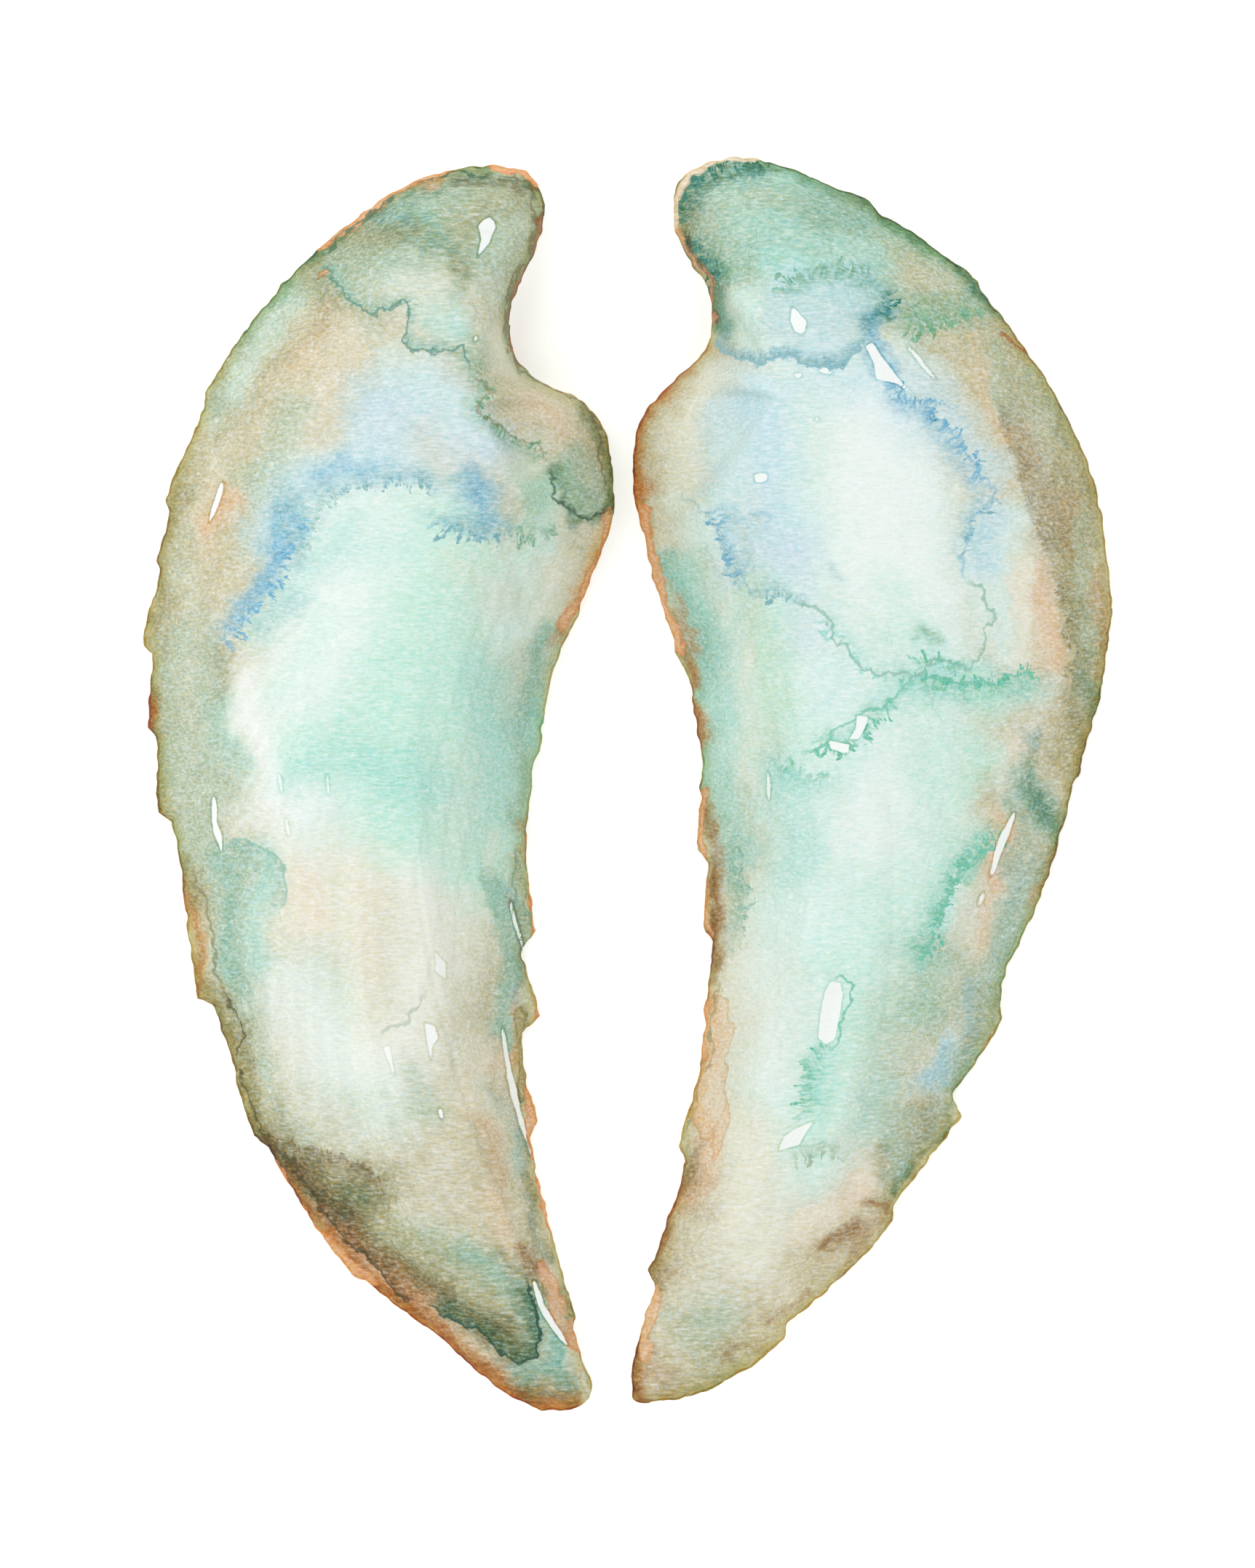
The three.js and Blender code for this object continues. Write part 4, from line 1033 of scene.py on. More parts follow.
left.washes(
    ("moss", 0.65, 1.4, 3.4, (-31, -53.8), (-28.6, -56.4), (-24, -60.4)),
    ("umber", 0.4, 0.8, 2.6, (-29, -57), (-22.4, -62.6)),
    ("moss", 0.5, 1, 2.6, (-20, -63.4), (-15.6, -65.4)),
    ("moss", 0.5, 1.1, 2.6, (-32, -54), (-27.6, -58.4), (-23.4, -61.8)),
    ("teal", 0.5, 0.8, 2.2, (-12.8, -60.6), (-11.8, -65), (-13, -67.2)),
    ("moss", 0.4, 0.9, 2.6, (-16, -70.4), (-13.4, -71.4)),
    ("umber", 0.4, 1.2, 3, (-19.4, -64.6), (-14.8, -67)),
    ("umber", 0.3, 1, 2.4, (-17.4, -66), (-13.8, -68)),
    ("moss", 0.4, 1, 2.6, (-18, -65), (-14, -67.2)),
    ("bottle", 0.25, 0.8, 2, (-11, -66), (-10.4, -68.4)),
    ("moss", 0.35, 1, 2.8, (-18.4, -65.4), (-13.6, -68)),
    ("moss", 0.25, 1.4, 3.4, (-37.6, -44.6), (-34, -48)),
    ("rust", 0.3, 0.6, 2, (-13.4, -72.6), (-8, -73.6)),
    ("moss", 0.3, 0.9, 2.4, (-14.6, -60), (-13, -62)),
    ("umber", 0.3, 0.8, 2.4, (-36.6, -53.6), (-33, -57)),
    ("olive", 0.35, 1.2, 3, (-30, -51.6), (-27.4, -54.6)),
    ("moss", 0.35, 1, 2.8, (-25.4, -62.2), (-21, -65.4)),
    ("olive", 0.4, 1.2, 3.2, (-29.4, -50.6), (-27, -53.4)),
    ("moss", 0.3, 1, 3, (-43, -38.8), (-39.6, -41)),
    ("moss", 0.5, 0.8, 2.4, (-24.6, -61.4), (-21.6, -63.2)),
    ("sea green", 0.4, 0.9, 2.4, (-14, -64), (-13, -67)),
    ("olive", 0.5, 1.2, 3.5, (-28, -53), (-24, -56.8)),
    ("moss", 0.5, 1.1, 3, (-16.2, -56.4), (-12.8, -58.2)))
left.bloom("bottle", 0.6, 3.4, (-24, -62.2), (-21, -64), (-18, -65.2), (-15.5, -67), (-12.5, -68.7), (-10.9, -68),
           (-10.2, -66), (-11.3, -62), (-12.2, -58.5), fray=0.1)
left.washes(
    ("tan", 0.5, 1.4, 2.5, (-41, -48), (-33, -58), (-25, -65), (-17, -70.5)),
    ("rust", 0.75, 1.3, 2.2, (-41.5, -46.4), (-37, -53), (-32.3, -58), (-25, -64.4), (-17, -70.6), (-12, -73.4),
        (-6, -74)),
    ("rust", 0.5, 1, 3.5, (-34.5, -54.5), (-29.5, -57.5), (-25.5, -61.5)),
    ("sepia", 0.45, 0.4, 1.8, (-38.5, -50.5), (-30, -60.3), (-22, -66.5), (-15, -71.5), (-10, -73.2)),
    ("sepia", 0.65, 0.7, 2, (-12.8, -55), (-11.6, -57.8)),
    ("teal", 0.8, 1.2, 2.5, (-13, -70), (-9, -69.3), (-7, -71.5)),
    ("teal", 0.7, 0.6, 1.5, (-10, -63), (-9, -66.5), (-7.8, -69)),
    ("moss", 0.75, 0.9, 2.2, (-12.5, -72), (-6, -73)),
    ("moss", 0.4, 1.2, 3, (-11, -70.6), (-6.5, -71)),
    ("rust", 0.3, 0.6, 1.2, (-12.9, -4.5), (-12.3, -9), (-11.6, -15)),
    ("apricot", 0.5, 0.5, 1.2, (-13.4, -26), (-12.6, -33), (-11.6, -40)),
    ("rust", 0.5, 0.6, 1.2, (-56.6, 10.5), (-56.2, 6.5)),
    ("moss", 0.3, 1, 2.5, (-43, -44.5), (-40, -49), (-37, -53)),
    ("cream", 0.3, 2.5, 5, (-20, 3), (-20, -6)),
    ("sand", 0.3, 2.5, 5, (-27.5, -14), (-27.5, -26)),
    ("moss", 0.22, 1.3, 2.8, (-33, 65.5), (-29.5, 65.5), (-25, 64.3)),
    ("sea green", 0.35, 1.3, 2.8, (-32.3, 56), (-31.8, 53)),
    ("tan", 0.45, 1.1, 2.2, (-48.8, 32), (-48.4, 27.5)),
    ("mint", 0.3, 1.2, 2.4, (-13.5, 31), (-13, 28)),
    ("sand", 0.3, 1, 2, (-7.2, 32), (-6.8, 29.5)),
    ("cream", 0.35, 1, 2, (-45.2, -6.5), (-45, -9)),
    ("sea green", 0.4, 1, 2.2, (-51.6, -6.5), (-51, -10)),
    ("moss", 0.24, 1.2, 2.6, (-49.2, -23.5), (-47.5, -25.5), (-46.2, -28)),
    ("moss", 0.26, 1.4, 3, (-36, -45.5), (-33, -49), (-29.5, -51.5), (-27.8, -48.8)),
    ("peat", 0.2, 1, 2.4, (-26, -59.5), (-23, -62.3), (-19.5, -63.6), (-15.5, -64)),
    ("umber", 0.2, 0.8, 1.8, (-16, -69.2), (-13.2, -69.6)))
left.bloom("teal", 0.5, 2, (-36.5, 62.5), (-35, 61), (-33, 57.5), (-30, 55.7), (-28.2, 56.8), (-26.3, 57.3),
           (-26.7, 53.5), (-25.2, 51.8), (-23.5, 51), (-19.7, 52), fray=0.25)
# Narrow glazes along the broken margin.
left.strips(
    ("apricot", 0.85, 1.6, (-36.8, 64.6), (-33, 67.9), (-30, 70.2), (-26.5, 72.4), (-21, 74.2)),
    ("apricot", 1.0, 0.7, (-16.4, 73.8), (-13, 73.2), (-10.4, 71.6)),
    ("rust", 0.6, 0.5, (-10.5, 68), (-11, 64), (-12.6, 60.4), (-13.8, 57.4), (-14, 53), (-12.8, 50)),
    ("apricot", 0.6, 0.4, (-36.6, 60.2), (-35.6, 61.4)),
    ("rust", 0.45, 0.5, (-57.4, 12), (-57.4, 8.6), (-57, 4.8)),
    ("apricot", 0.7, 0.6, (-2.2, 32.6), (-2.6, 29.6), (-4, 26), (-6, 22), (-8, 18.5)),
    ("sea green", 0.6, 0.8, (-13.5, -8), (-12.8, -14), (-11.8, -19.8)),
    ("apricot", 0.85, 0.6, (-11.9, -5.5), (-11.2, -10), (-10.8, -15), (-10.6, -20.5)),
    ("apricot", 0.65, 0.45, (-11, -22.5), (-10.4, -26), (-10.2, -30)),
    ("olive", 0.8, 0.7, (-12.8, -27), (-12.4, -33), (-12.8, -38)),
    ("apricot", 0.7, 0.9, (-11.4, -33), (-11, -40), (-11.5, -44.5)),
    ("apricot", 0.9, 0.7, (-11, -46), (-9.6, -50.5), (-8.2, -54.5)),
    ("apricot", 0.75, 0.95, (-42.9, -45.4), (-41.2, -48.8), (-38.2, -53), (-34.8, -56.6), (-30.6, -60)),
    ("apricot", 0.7, 0.9, (-10.4, -57.5), (-8, -64), (-5.6, -68.3)),
    ("olive", 0.9, 0.6, (-10.4, -59.5), (-8.6, -62.5), (-7, -65)),
    ("sand", 0.9, 0.6, (-5.6, -70.6), (-4, -73.3)))
# Thin crinkled lines.
left.lines(
    ("deep teal", 0.7, (-36.5, 62.5), (-35, 61), (-34, 59), (-33, 57.5), (-31.8, 56.5), (-30, 55.7), (-28.2, 56.8),
        (-27, 57.8), (-26.3, 57.3), (-26.6, 55.5), (-26.7, 53.5), (-25.2, 51.8), (-23.5, 51), (-21.5, 51.4),
        (-19.7, 52), (-18.9, 50.5), (-18.5, 49)),
    ("moss", 0.6, (-18.5, 49), (-17, 48), (-15.7, 47), (-17.5, 45.8), (-17.7, 44.5), (-16, 43.2), (-14.5, 41.7),
        (-12, 40.8), (-10.5, 40), (-9.7, 38)),
    ("pine", 0.75, (-9.7, 38), (-8.8, 36), (-8.3, 34), (-6.5, 32), (-4.5, 31.5), (-2.5, 32.3), (-2.2, 33.5)),
    ("moss", 0.75, (-52, -9.5), (-51.5, -12), (-50.5, -14), (-50, -16), (-49.5, -18), (-48.7, -20), (-49, -22),
        (-48.2, -24)),
    ("teal", 0.7, (-48.2, -8), (-47, -6.5), (-45.5, -7), (-43, -7.7), (-41.5, -9), (-40.7, -11.5), (-40.6, -14),
        (-41, -15)),
    ("peat", 0.75, (-48.2, -24), (-48, -25), (-46.5, -27), (-45.7, -29), (-46.3, -31.5), (-46.2, -34), (-45.2, -37),
        (-44.6, -39), (-42.8, -42.8), (-40.1, -45.2), (-37.5, -49), (-35.1, -52.5), (-32.6, -55.5), (-30.8, -56.4),
        (-27.3, -60.6), (-25.2, -61.8)),
    ("bottle", 0.85, (-36.4, 63), (-33, 66.2), (-29.6, 68.8), (-26, 71), (-21.4, 72.9), (-16, 72.8)),
    ("umber", 0.6, (-15, 72.6), (-12.4, 71.6), (-11.2, 70), (-11.2, 67), (-11.9, 64), (-13.7, 60.4), (-14.8, 57),
        (-14.9, 54), (-14, 51), (-12.4, 49.2), (-9, 47), (-5.6, 45.4), (-3.6, 42.6), (-2.9, 38.6), (-2.8, 35)),
    ("pine", 0.95, (-24, -62), (-21, -64), (-18, -65), (-17, -66), (-15.5, -67), (-14, -68), (-12.5, -68.7),
        (-11, -68), (-10.3, -66.5), (-10.2, -65.5), (-10.7, -64.5), (-11.5, -62), (-11.8, -60), (-12.3, -58.5)),
    ("sea green", 0.6, (-29.5, -30.5), (-28.5, -28.8), (-26, -28), (-24, -25)))
# Chalk left bare: white flecks and slivers that are also painted highlights.
left.flecks(
    ((-17.9, 62.8), (-17.4, 65), (-17.9, 66.4), (-17.2, 67.2), (-16.5, 67.5), (-15.9, 67), (-15.8, 66.3),
        (-16.6, 64.4)),
    ((-18.3, 52.8), (-18.2, 53.3), (-17.9, 53.2), (-17.9, 52.8)),
    ((-22.9, -20), (-22.9, -22.3), (-21.8, -23.3), (-21.9, -21.4)),
    ((-24.2, -28.4), (-23, -28.9), (-22.6, -30.2), (-23.3, -31.2), (-23.4, -32.8), (-23.8, -31)),
    ((-29.1, -31.3), (-28.3, -31.2), (-27.7, -34.8)))
left.slivers(
    (0.7, (-49.8, 31.3), (-49, 33.5), (-48, 35.9)),
    (0.8, (-49.3, -1.4), (-49.1, -4.5), (-48.3, -8)),
    (0.3, (-41.3, 1.2), (-41, -1.2)),
    (0.3, (-35.8, 1.2), (-35.6, -1.2)),
    (0.35, (-40.6, -4), (-40.2, -6.2)),
    (0.4, (-14.1, -13.8), (-13.4, -17), (-12.4, -20)),
    (0.6, (-15, -29), (-14.2, -35), (-13.1, -39.5), (-11.8, -44.4)),
    (0.7, (-11.3, -59.3), (-10.3, -62.3), (-8.8, -64.8), (-7.3, -67)),
    (0.4, (-22.4, -38.6), (-22.1, -39.9)))
left.soak_in(left_shell, left_facts["inside"])

growth = ribs_and_growth()
raise_relief(left_shell, growth, LEFT["seed"], shell_finish("left shell"))
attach(left_shell, "root")
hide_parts("left_valve")


# ---- The right valve ------------------------------------------------------------------------------------
# The other half of the same chalky shell, grown as a near mirror image of the left one, with its own margin
# and its own tints. It lies loose beside the left one, with a narrow gap between the two hinge margins.

RIGHT = {
    "name": "right_shell_half", "side": 1, "seed": 23,
    "umbo": (11.8, 30.6), "hinge": (0.5, 25.6), "front_end": (9.0, 49.9), "rear_end": (1.5, -49.2),
    "outline": [
        (6.8, 37.0), (6.4, 39.7), (4.9, 41.8), (3.8, 44.8), (4.2, 47.9), (6.0, 49.3), (9.0, 49.9),
        (12.3, 49.2), (16.1, 47.6), (20.5, 45.2), (25.6, 41.8), (28.9, 38.4), (32.2, 33.8), (35.0, 29.1),
        (37.0, 24.5), (38.0, 19.6), (38.5, 14.3), (38.1, 10.3), (37.3, 5.9), (36.0, 2.2), (34.0, -5.7),
        (32.2, -10.6), (30.0, -15.2), (28.5, -20.4), (25.6, -25.1), (22.0, -32.1), (18.0, -38.3),
        (13.1, -42.6), (9.7, -45.9), (5.6, -48.4), (2.5, -49.2), (0.6, -49.1), (0.3, -47.7), (1.0, -43.6),
        (2.1, -40.4), (4.4, -31.2), (5.7, -22.8), (6.8, -13.5), (6.4, -7.1), (6.0, 1.0), (5.4, 5.9),
        (4.7, 9.4), (3.2, 12.9), (2.1, 16.4), (1.3, 19.9), (0.6, 22.8), (0.5, 25.7), (1.0, 28.7),
        (2.4, 30.8), (4.8, 33.0), (6.5, 34.9)],
    "tips": [
        (0.118, 0.7, 5, 4), (0.164, 0.4, 5, 3), (0.203, 0.2, 6, 2), (0.344, 0.4, 6, 3), (0.43, 0.9, 9, 10),
        (0.466, 2.2, 4.5, 12), (0.508, 0.9, 3.5, 6), (0.562, 1.0, 3.5, 13), (0.662, 1.2, 4, 11),
        (0.706, 1.1, 4, 8), (0.753, 0.5, 4, 5), (0.781, 0.9, 4, 7), (0.808, 1.1, 4, 10), (0.876, 0.5, 4, 4)],
}
right_points, right_faces, right_facts = build_valve(RIGHT)
right_shell = skin_object(RIGHT, right_points, right_faces, right_facts)

right = Tints(right_points[:, :2], RIGHT["seed"])
# The whole valve took up a thin grey-tan, and its middle is pale, blue-white in front and mint behind; the
# chalk-white washes there are a painted highlight, the crown of the dome drawn lighter.
right.washes(
    ("sand", 0.85, 60, 5, (30, 60), (30, -60)),
    ("pale aqua", 0.9, 11, 8, (24, 42), (30, 28), (30, 2), (28, -12)),
    ("pale aqua", 0.8, 6, 8, (26, -18), (24, -34), (20, -44)),
    ("chalk", 0.7, 6, 8, (30, 42), (31, 30), (34, 24)),
    ("sky", 0.75, 4, 8, (14, 46), (15, 34), (19, 27)),
    ("sky", 0.5, 3, 7, (24, 48), (31, 46), (37, 42)),
    ("lavender", 0.5, 2.5, 6, (20, 26), (22, 17)),
    ("mint", 0.6, 3.5, 7, (18, 21), (18, 10), (24, 8)),
    ("mint", 0.4, 2.5, 6, (33, 23), (33, 17)),
    ("aqua", 0.45, 3, 6, (20, 2), (21, -9)),
    ("aqua", 0.7, 1.6, 4.5, (33, 10.5), (29, 9), (26, 5.5)),
    ("aqua", 0.55, 1.4, 4, (29.6, 6.4), (26.4, 2.8)),
    ("mint", 0.5, 1.5, 4, (40.6, -1.6), (44.6, 0.6)),
    ("aqua", 0.5, 1.6, 4, (25, 13.5), (24.5, 10.5)),
    ("aqua", 0.35, 2, 4.4, (24.4, 12.6), (24, 9.4)),
    ("sky", 0.3, 2, 4.4, (24.4, 12.6), (24, 9.4)))
right.bloom("jade", 0.5, 4.5, (22.4, 6.4), (23.4, 4), (25.6, 3), (27.4, 4.2), (28.6, 5.6), (30, 8), (33, 9.6))
right.bloom("jade", 0.35, -3.4, (17, 4), (19.6, 1.8), (22.4, 1), (25.8, 1.6))
right.washes(
    ("aqua", 0.45, 1.4, 4, (19, 2), (25, 1)),
    ("mint", 0.4, 4, 8, (34, 4), (38, -6), (26, -22)),
    ("cream", 0.7, 1.8, 4, (13.5, 21), (15, 10), (15, 2)),
    ("pale aqua", 0.55, 1.4, 3.4, (12, 23), (13.4, 14), (14, 3)),
    ("mint", 0.4, 0.8, 2.6, (16.4, 20), (17, 10), (17, 3)),
    ("chalk", 0.5, 3, 7, (31, -8), (24, 12), (33, -2)),
    ("cream", 0.85, 4, 7, (15, -42), (14, -48), (16, -54)),
    ("cream", 0.4, 2, 5, (14, -16), (13, -36)),
    ("pale aqua", 0.7, 3, 6, (17.5, -14), (18, -26), (17, -36)),
    ("chalk", 0.4, 2, 5, (16, -20), (16.4, -34)),
    ("mint", 0.6, 3, 7, (29, -26), (26, -34), (22, -42)),
    ("sea green", 0.35, 3, 7, (34, -20), (32, -30), (31, -38)))
# The front lobe, teal green, with short dark strokes along its hinge side.
right.washes(
    ("sea green", 0.95, 7, 4, (12, 68), (20, 67), (30, 62), (38, 57)),
    ("aqua", 0.55, 5, 6, (17, 72), (19, 64), (26, 61)),
    ("aqua", 0.35, 2, 5, (13.5, 66), (14.5, 60), (15, 56)),
    ("olive", 0.5, 0.8, 3.5, (15, 70), (21, 69), (27, 65.5), (32, 62.5)),
    ("olive", 0.5, 2, 4, (34, 61), (40, 57), (44, 52)),
    ("sand", 0.5, 2, 4, (33, 60.5), (37, 60)))
right.bloom("deep teal", 0.75, -4, (6.3, 66), (6.2, 69), (7.5, 72.3), (10, 73.5), (14, 74.2), (18, 73.9))
right.bloom("deep teal", 0.75, -4, (10.3, 58), (9.7, 60.8), (8, 63), (6.5, 66))
right.washes(
    ("deep teal", 0.6, 0.5, 2.6, (18, 74), (21, 72.6), (25, 71.2), (28.5, 70), (31, 67.8), (34.5, 64.8),
        (38.5, 62.8), (42, 60)),
    ("deep teal", 0.25, 0.5, 2, (36, 65.2), (42, 60.4), (46, 54.8)),
    ("teal", 0.4, 0.5, 2, (16, 74.6), (24, 71.8), (28, 70.4)),
    ("bottle", 0.45, 0.3, 2, (28, 70), (33, 65.8), (38, 63), (42, 59.6), (45, 55.5)),
    ("bottle", 0.4, 0.9, 3, (27.5, 69.6), (31, 67.4), (35, 64.6)),
    ("bottle", 0.4, 0.7, 2.6, (8.8, 62), (10.4, 58), (10.8, 54)),
    ("moss", 0.45, 0.6, 2.2, (6.4, 65.6), (6.2, 69), (7.2, 72.2)),
    ("moss", 0.45, 0.8, 2.4, (7.4, 63.6), (7, 67.6), (8, 71.4)),
    ("bottle", 0.35, 0.6, 2, (9, 72.6), (14, 73.4), (18, 73.6)),
    ("green", 0.6, 1, 3, (29.4, 67.2), (33, 65.4), (36, 63.4)),
    ("green", 0.5, 1.1, 3, (29, 69.2), (32, 67.4), (35.4, 64.8)),
    ("green", 0.45, 1.1, 2.8, (29.6, 68.8), (32.4, 67), (35, 65)),
    ("bottle", 0.25, 1, 2.6, (30, 68.6), (32.6, 67), (35, 65)),
    ("deep teal", 0.2, 1.4, 3.4, (22, 69.6), (27, 67)),
    ("teal", 0.3, 1.2, 3, (24, 67.4), (28, 65.4)),
    ("teal", 0.35, 2, 4, (20, 69.4), (26, 66.4)),
    ("teal", 0.35, 0.9, 2.6, (10, 58.6), (10.8, 55.6)),
    ("bottle", 0.3, 0.7, 2.4, (9.8, 59), (10.6, 55)),
    ("sea green", 0.4, 1.8, 4, (14, 65), (14.6, 60)),
    ("aqua", 0.5, 1.5, 3, (17.6, 61.4), (22, 60.4)),
    ("green", 0.5, 0.8, 2.5, (9.5, 64.5), (9.5, 62.6), (12, 62.8)),
    ("deep teal", 0.5, 0.8, 2.6, (9.6, 62), (11.2, 60.5), (11.4, 55.5)),
    ("tan", 0.5, 0.3, 1.2, (10.8, 61), (12.4, 59), (13.6, 56)))
# The blue pool below the lobe, dried to a hard crinkled line.
right.washes(
    ("aqua", 0.3, 3.5, 4, (13, 55.8), (19, 55.5), (26, 56)),
    ("sky", 0.6, 3.5, 4, (20, 57), (25, 56.5), (22, 53)),
    ("pale aqua", 0.6, 1.6, 3.5, (14.5, 58), (14.5, 53), (19, 52)))
right.bloom("teal", 0.85, -3.2, (18, 57.5), (19, 59.8), (21.5, 61.4), (25, 61.8), (28, 61), (30.5, 59.4))
right.washes(
    ("slate", 0.5, 0.8, 2.6, (27, 59.8), (29.4, 58), (30.6, 55.6)))
right.bloom("deep teal", 0.6, -4.5, (31.4, 59.8), (31.8, 57), (31, 54.2))
right.washes(
    ("slate", 1.0, 1.2, 2.4, (28, 53.8), (30.5, 54.8)),
    ("deep teal", 0.35, 0.5, 1.8, (28.6, 53.8), (30.6, 55)),
    ("blue", 0.7, 0.7, 2.4, (28.9, 52.4), (30, 50), (32, 47)),
    ("blue", 0.6, 0.8, 1.8, (28.3, 53.4), (29.5, 54)),
    ("deep teal", 0.35, 0.7, 2, (27.6, 53.4), (31, 55.2)),
    ("blue", 0.45, 0.5, 1.8, (27.8, 51.6), (28.8, 47.8)))
right.bloom("slate", 0.8, 2.2, (11, 54), (11, 51.5), (13, 50.6), (16, 50), (18.5, 50.7), (20, 50.8), (20.7, 50),
            (23, 49.8), (25, 49.4), (26, 50.5), (27.5, 52), (28, 53.5), fray=0.1)
right.bloom("green", 0.9, 5, (32, 54.8), (34.5, 53.8), (37.5, 53.8), (40, 54.8), (43.4, 57))
right.washes(
    ("green", 0.4, 0.6, 1.8, (35, 58.3), (36.5, 58.5), (39.5, 57)))
# Tan shoulder and outer band; the darker olive along the margin is partly painted shade, where the dome falls away.
right.washes(
    ("olive", 0.8, 3.4, 4, (46, 53), (51, 43), (54, 34), (55.5, 24), (55, 12), (53, 2)),
    ("tan", 0.8, 2.5, 5, (38, 52), (43, 46), (46, 40), (49, 33)),
    ("sand", 0.5, 2, 5, (36, 51), (39, 46), (42, 42)),
    ("peach", 0.5, 0.8, 2.5, (41, 53), (42.5, 48), (45, 42.5)),
    ("umber", 0.12, 1.6, 4, (47.5, 40), (50, 35), (51.6, 29), (51, 24.5)),
    ("moss", 0.3, 1, 4, (50, 40), (53.5, 34), (54, 28)),
    ("sea green", 0.55, 1, 3, (55.5, 30), (56, 20), (54, 11)),
    ("bottle", 0.3, 0.5, 1.8, (55.8, 4), (54.2, -3)),
    ("sea green", 0.35, 0.8, 2.4, (57, 18), (56.4, 9)),
    ("umber", 0.12, 1, 3, (46, 34), (46.6, 31)),
    ("rust", 0.2, 1, 3, (53, 33), (54, 29)),
    ("pale aqua", 0.35, 0.9, 2.8, (48.6, 44), (49.4, 37)))
right.bloom("umber", 0.24, 6, (43.6, 46.4), (45, 41), (46.6, 36), (48, 31), (49.8, 26.4), fray=0.2)
right.bloom("moss", 0.45, 4, (49.8, 26), (51, 23), (52.6, 20), (51.6, 17.6), (53, 15.4), (51.6, 13.8), (52.6, 12),
            (51, 11), fray=0.25)
right.washes(
    ("bottle", 0.25, 0.8, 2.6, (29.6, 67.4), (33, 65)),
    ("green", 0.4, 1, 3, (31, 67.8), (34.6, 65.2)),
    ("bottle", 0.2, 1, 3, (10, 58.6), (10.8, 55.6)),
    ("sea green", 0.4, 1.2, 3, (48, 49), (52.5, 41)),
    ("sea green", 0.5, 1.5, 3.5, (46, 45), (43, 51)),
    ("moss", 0.4, 0.3, 1.8, (50, 46), (54, 38), (56.5, 30)),
    ("rust", 0.35, 0.4, 1.8, (57.3, 27), (57.5, 19), (56.5, 12)),
    ("pale aqua", 0.8, 2, 4, (45.5, 33), (44.5, 24), (46, 16)),
    ("peach", 0.65, 1.3, 2.6, (49.6, 26), (50.6, 20), (51.4, 14.5)),
    ("apricot", 0.15, 0.6, 2, (51.5, 20), (52, 15), (52, 12)),
    ("cream", 0.85, 1.2, 3, (47.6, 27), (47.6, 22), (48.2, 15)),
    ("cream", 0.4, 1, 2.6, (47.8, 26), (48.2, 21)),
    ("bottle", 0.35, 1, 3, (55, 12), (55.5, 8)),
    ("moss", 0.5, 0.8, 2.5, (52.5, 9), (54, 4), (52.5, -2)))
# The blue crinkled arc of the outer side, and the green one below it.
right.bloom("blue", 0.6, -3.5, (30, 48), (31, 47.5), (32, 46.5), (34, 45.6), (37, 45.3), (36.5, 44), (38.5, 42),
            (40, 40.5), (40.3, 39), (41.5, 37), (43.7, 35.2))
right.bloom("slate", 0.65, -2.2, (43.7, 35.2), (43, 34), (42, 32.5), (41, 31.5), (41.3, 30), (40.2, 28.5),
            (39.8, 26))
right.washes(
    ("sky", 0.8, 1.8, 4, (42.5, 33), (43, 27)),
    ("blue", 0.3, 0.6, 3, (42, 31.5), (42.3, 28)),
    ("sky", 0.6, 2, 4, (35, 49), (39, 44), (42, 39)))
right.bloom("jade", 0.6, -4, (33, 13.6), (34.5, 15), (37, 15.2), (40.5, 14.2))
right.bloom("jade", 0.6, -4, (31, 11.5), (34, 12.8), (37, 12.6), (39, 12.8), (41, 12.3), (44, 12.1), (45.5, 12.9),
            (48, 12.9), (50, 11.6))
right.washes(
    ("aqua", 0.6, 2.2, 4, (37, 10.6), (43, 9.6), (47.5, 10.6)),
    ("mint", 0.6, 2.2, 4, (41, 4), (44.5, 1.5)),
    ("teal", 0.25, 0.8, 3, (35, 10.6), (42, 10.8)),
    ("aqua", 0.5, 1.4, 3.4, (34.6, 11.6), (38, 12), (43.6, 13.4)),
    ("mint", 0.5, 1.4, 3.6, (42, 9), (44.6, 6.6)),
    ("mint", 0.4, 1.6, 4, (38, 1), (40.6, -1.6)),
    ("pale aqua", 0.3, 1.4, 4, (38, 2), (40.6, -1)),
    ("mint", 0.4, 1, 3, (41, 11.6), (44, 9.6)),
    ("aqua", 0.4, 1.2, 3.2, (35, 17), (37, 13.4), (43, 13)),
    ("pale aqua", 0.4, 1.4, 3.4, (39, -2), (41, -7), (37, -14)),
    ("pale aqua", 0.35, 1.4, 3.4, (12.4, 29), (14.4, 25)),
    ("pale aqua", 0.3, 1.4, 3.6, (11, 37), (10.6, 33)),
    ("mint", 0.35, 1.2, 3.2, (42, 13.4), (44, 9.8)),
    ("pale aqua", 0.3, 1.2, 3.2, (43.6, 3), (45, 0.6)),
    ("blush", 0.3, 1, 3, (46.6, 25.6), (47.4, 21)),
    ("sky", 0.3, 1, 3, (12.4, 29), (14.4, 25)),
    ("mint", 0.3, 1.2, 3.4, (34.4, -16), (33.4, -21)),
    ("mint", 0.35, 1.2, 3, (41.6, 3), (44.6, 1)),
    ("sand", 0.4, 0.9, 2.6, (44.6, 3), (46.4, 5.6)),
    ("pale aqua", 0.35, 1.4, 3.4, (42.6, 22), (42, 17)),
    ("cream", 0.35, 1, 2.6, (48.2, 25), (48.4, 20)),
    ("green", 0.5, 0.5, 1.6, (34.5, 17), (36.5, 16.6)))
right.bloom("blue", 0.6, 4.2, (9.5, 33.5), (10.3, 31), (11, 29), (12, 26.5), (12.6, 24.6), (14.2, 23))
right.bloom("slate", 0.5, 2, (14.2, 23), (17.5, 22.6), (20, 21.6), (22.8, 20.8))
right.bloom("aqua", 0.6, 2.5, (22.8, 20.8), (24, 18.4), (26.6, 16.2), (28, 13.6), (31, 12.9), (34, 12.4))
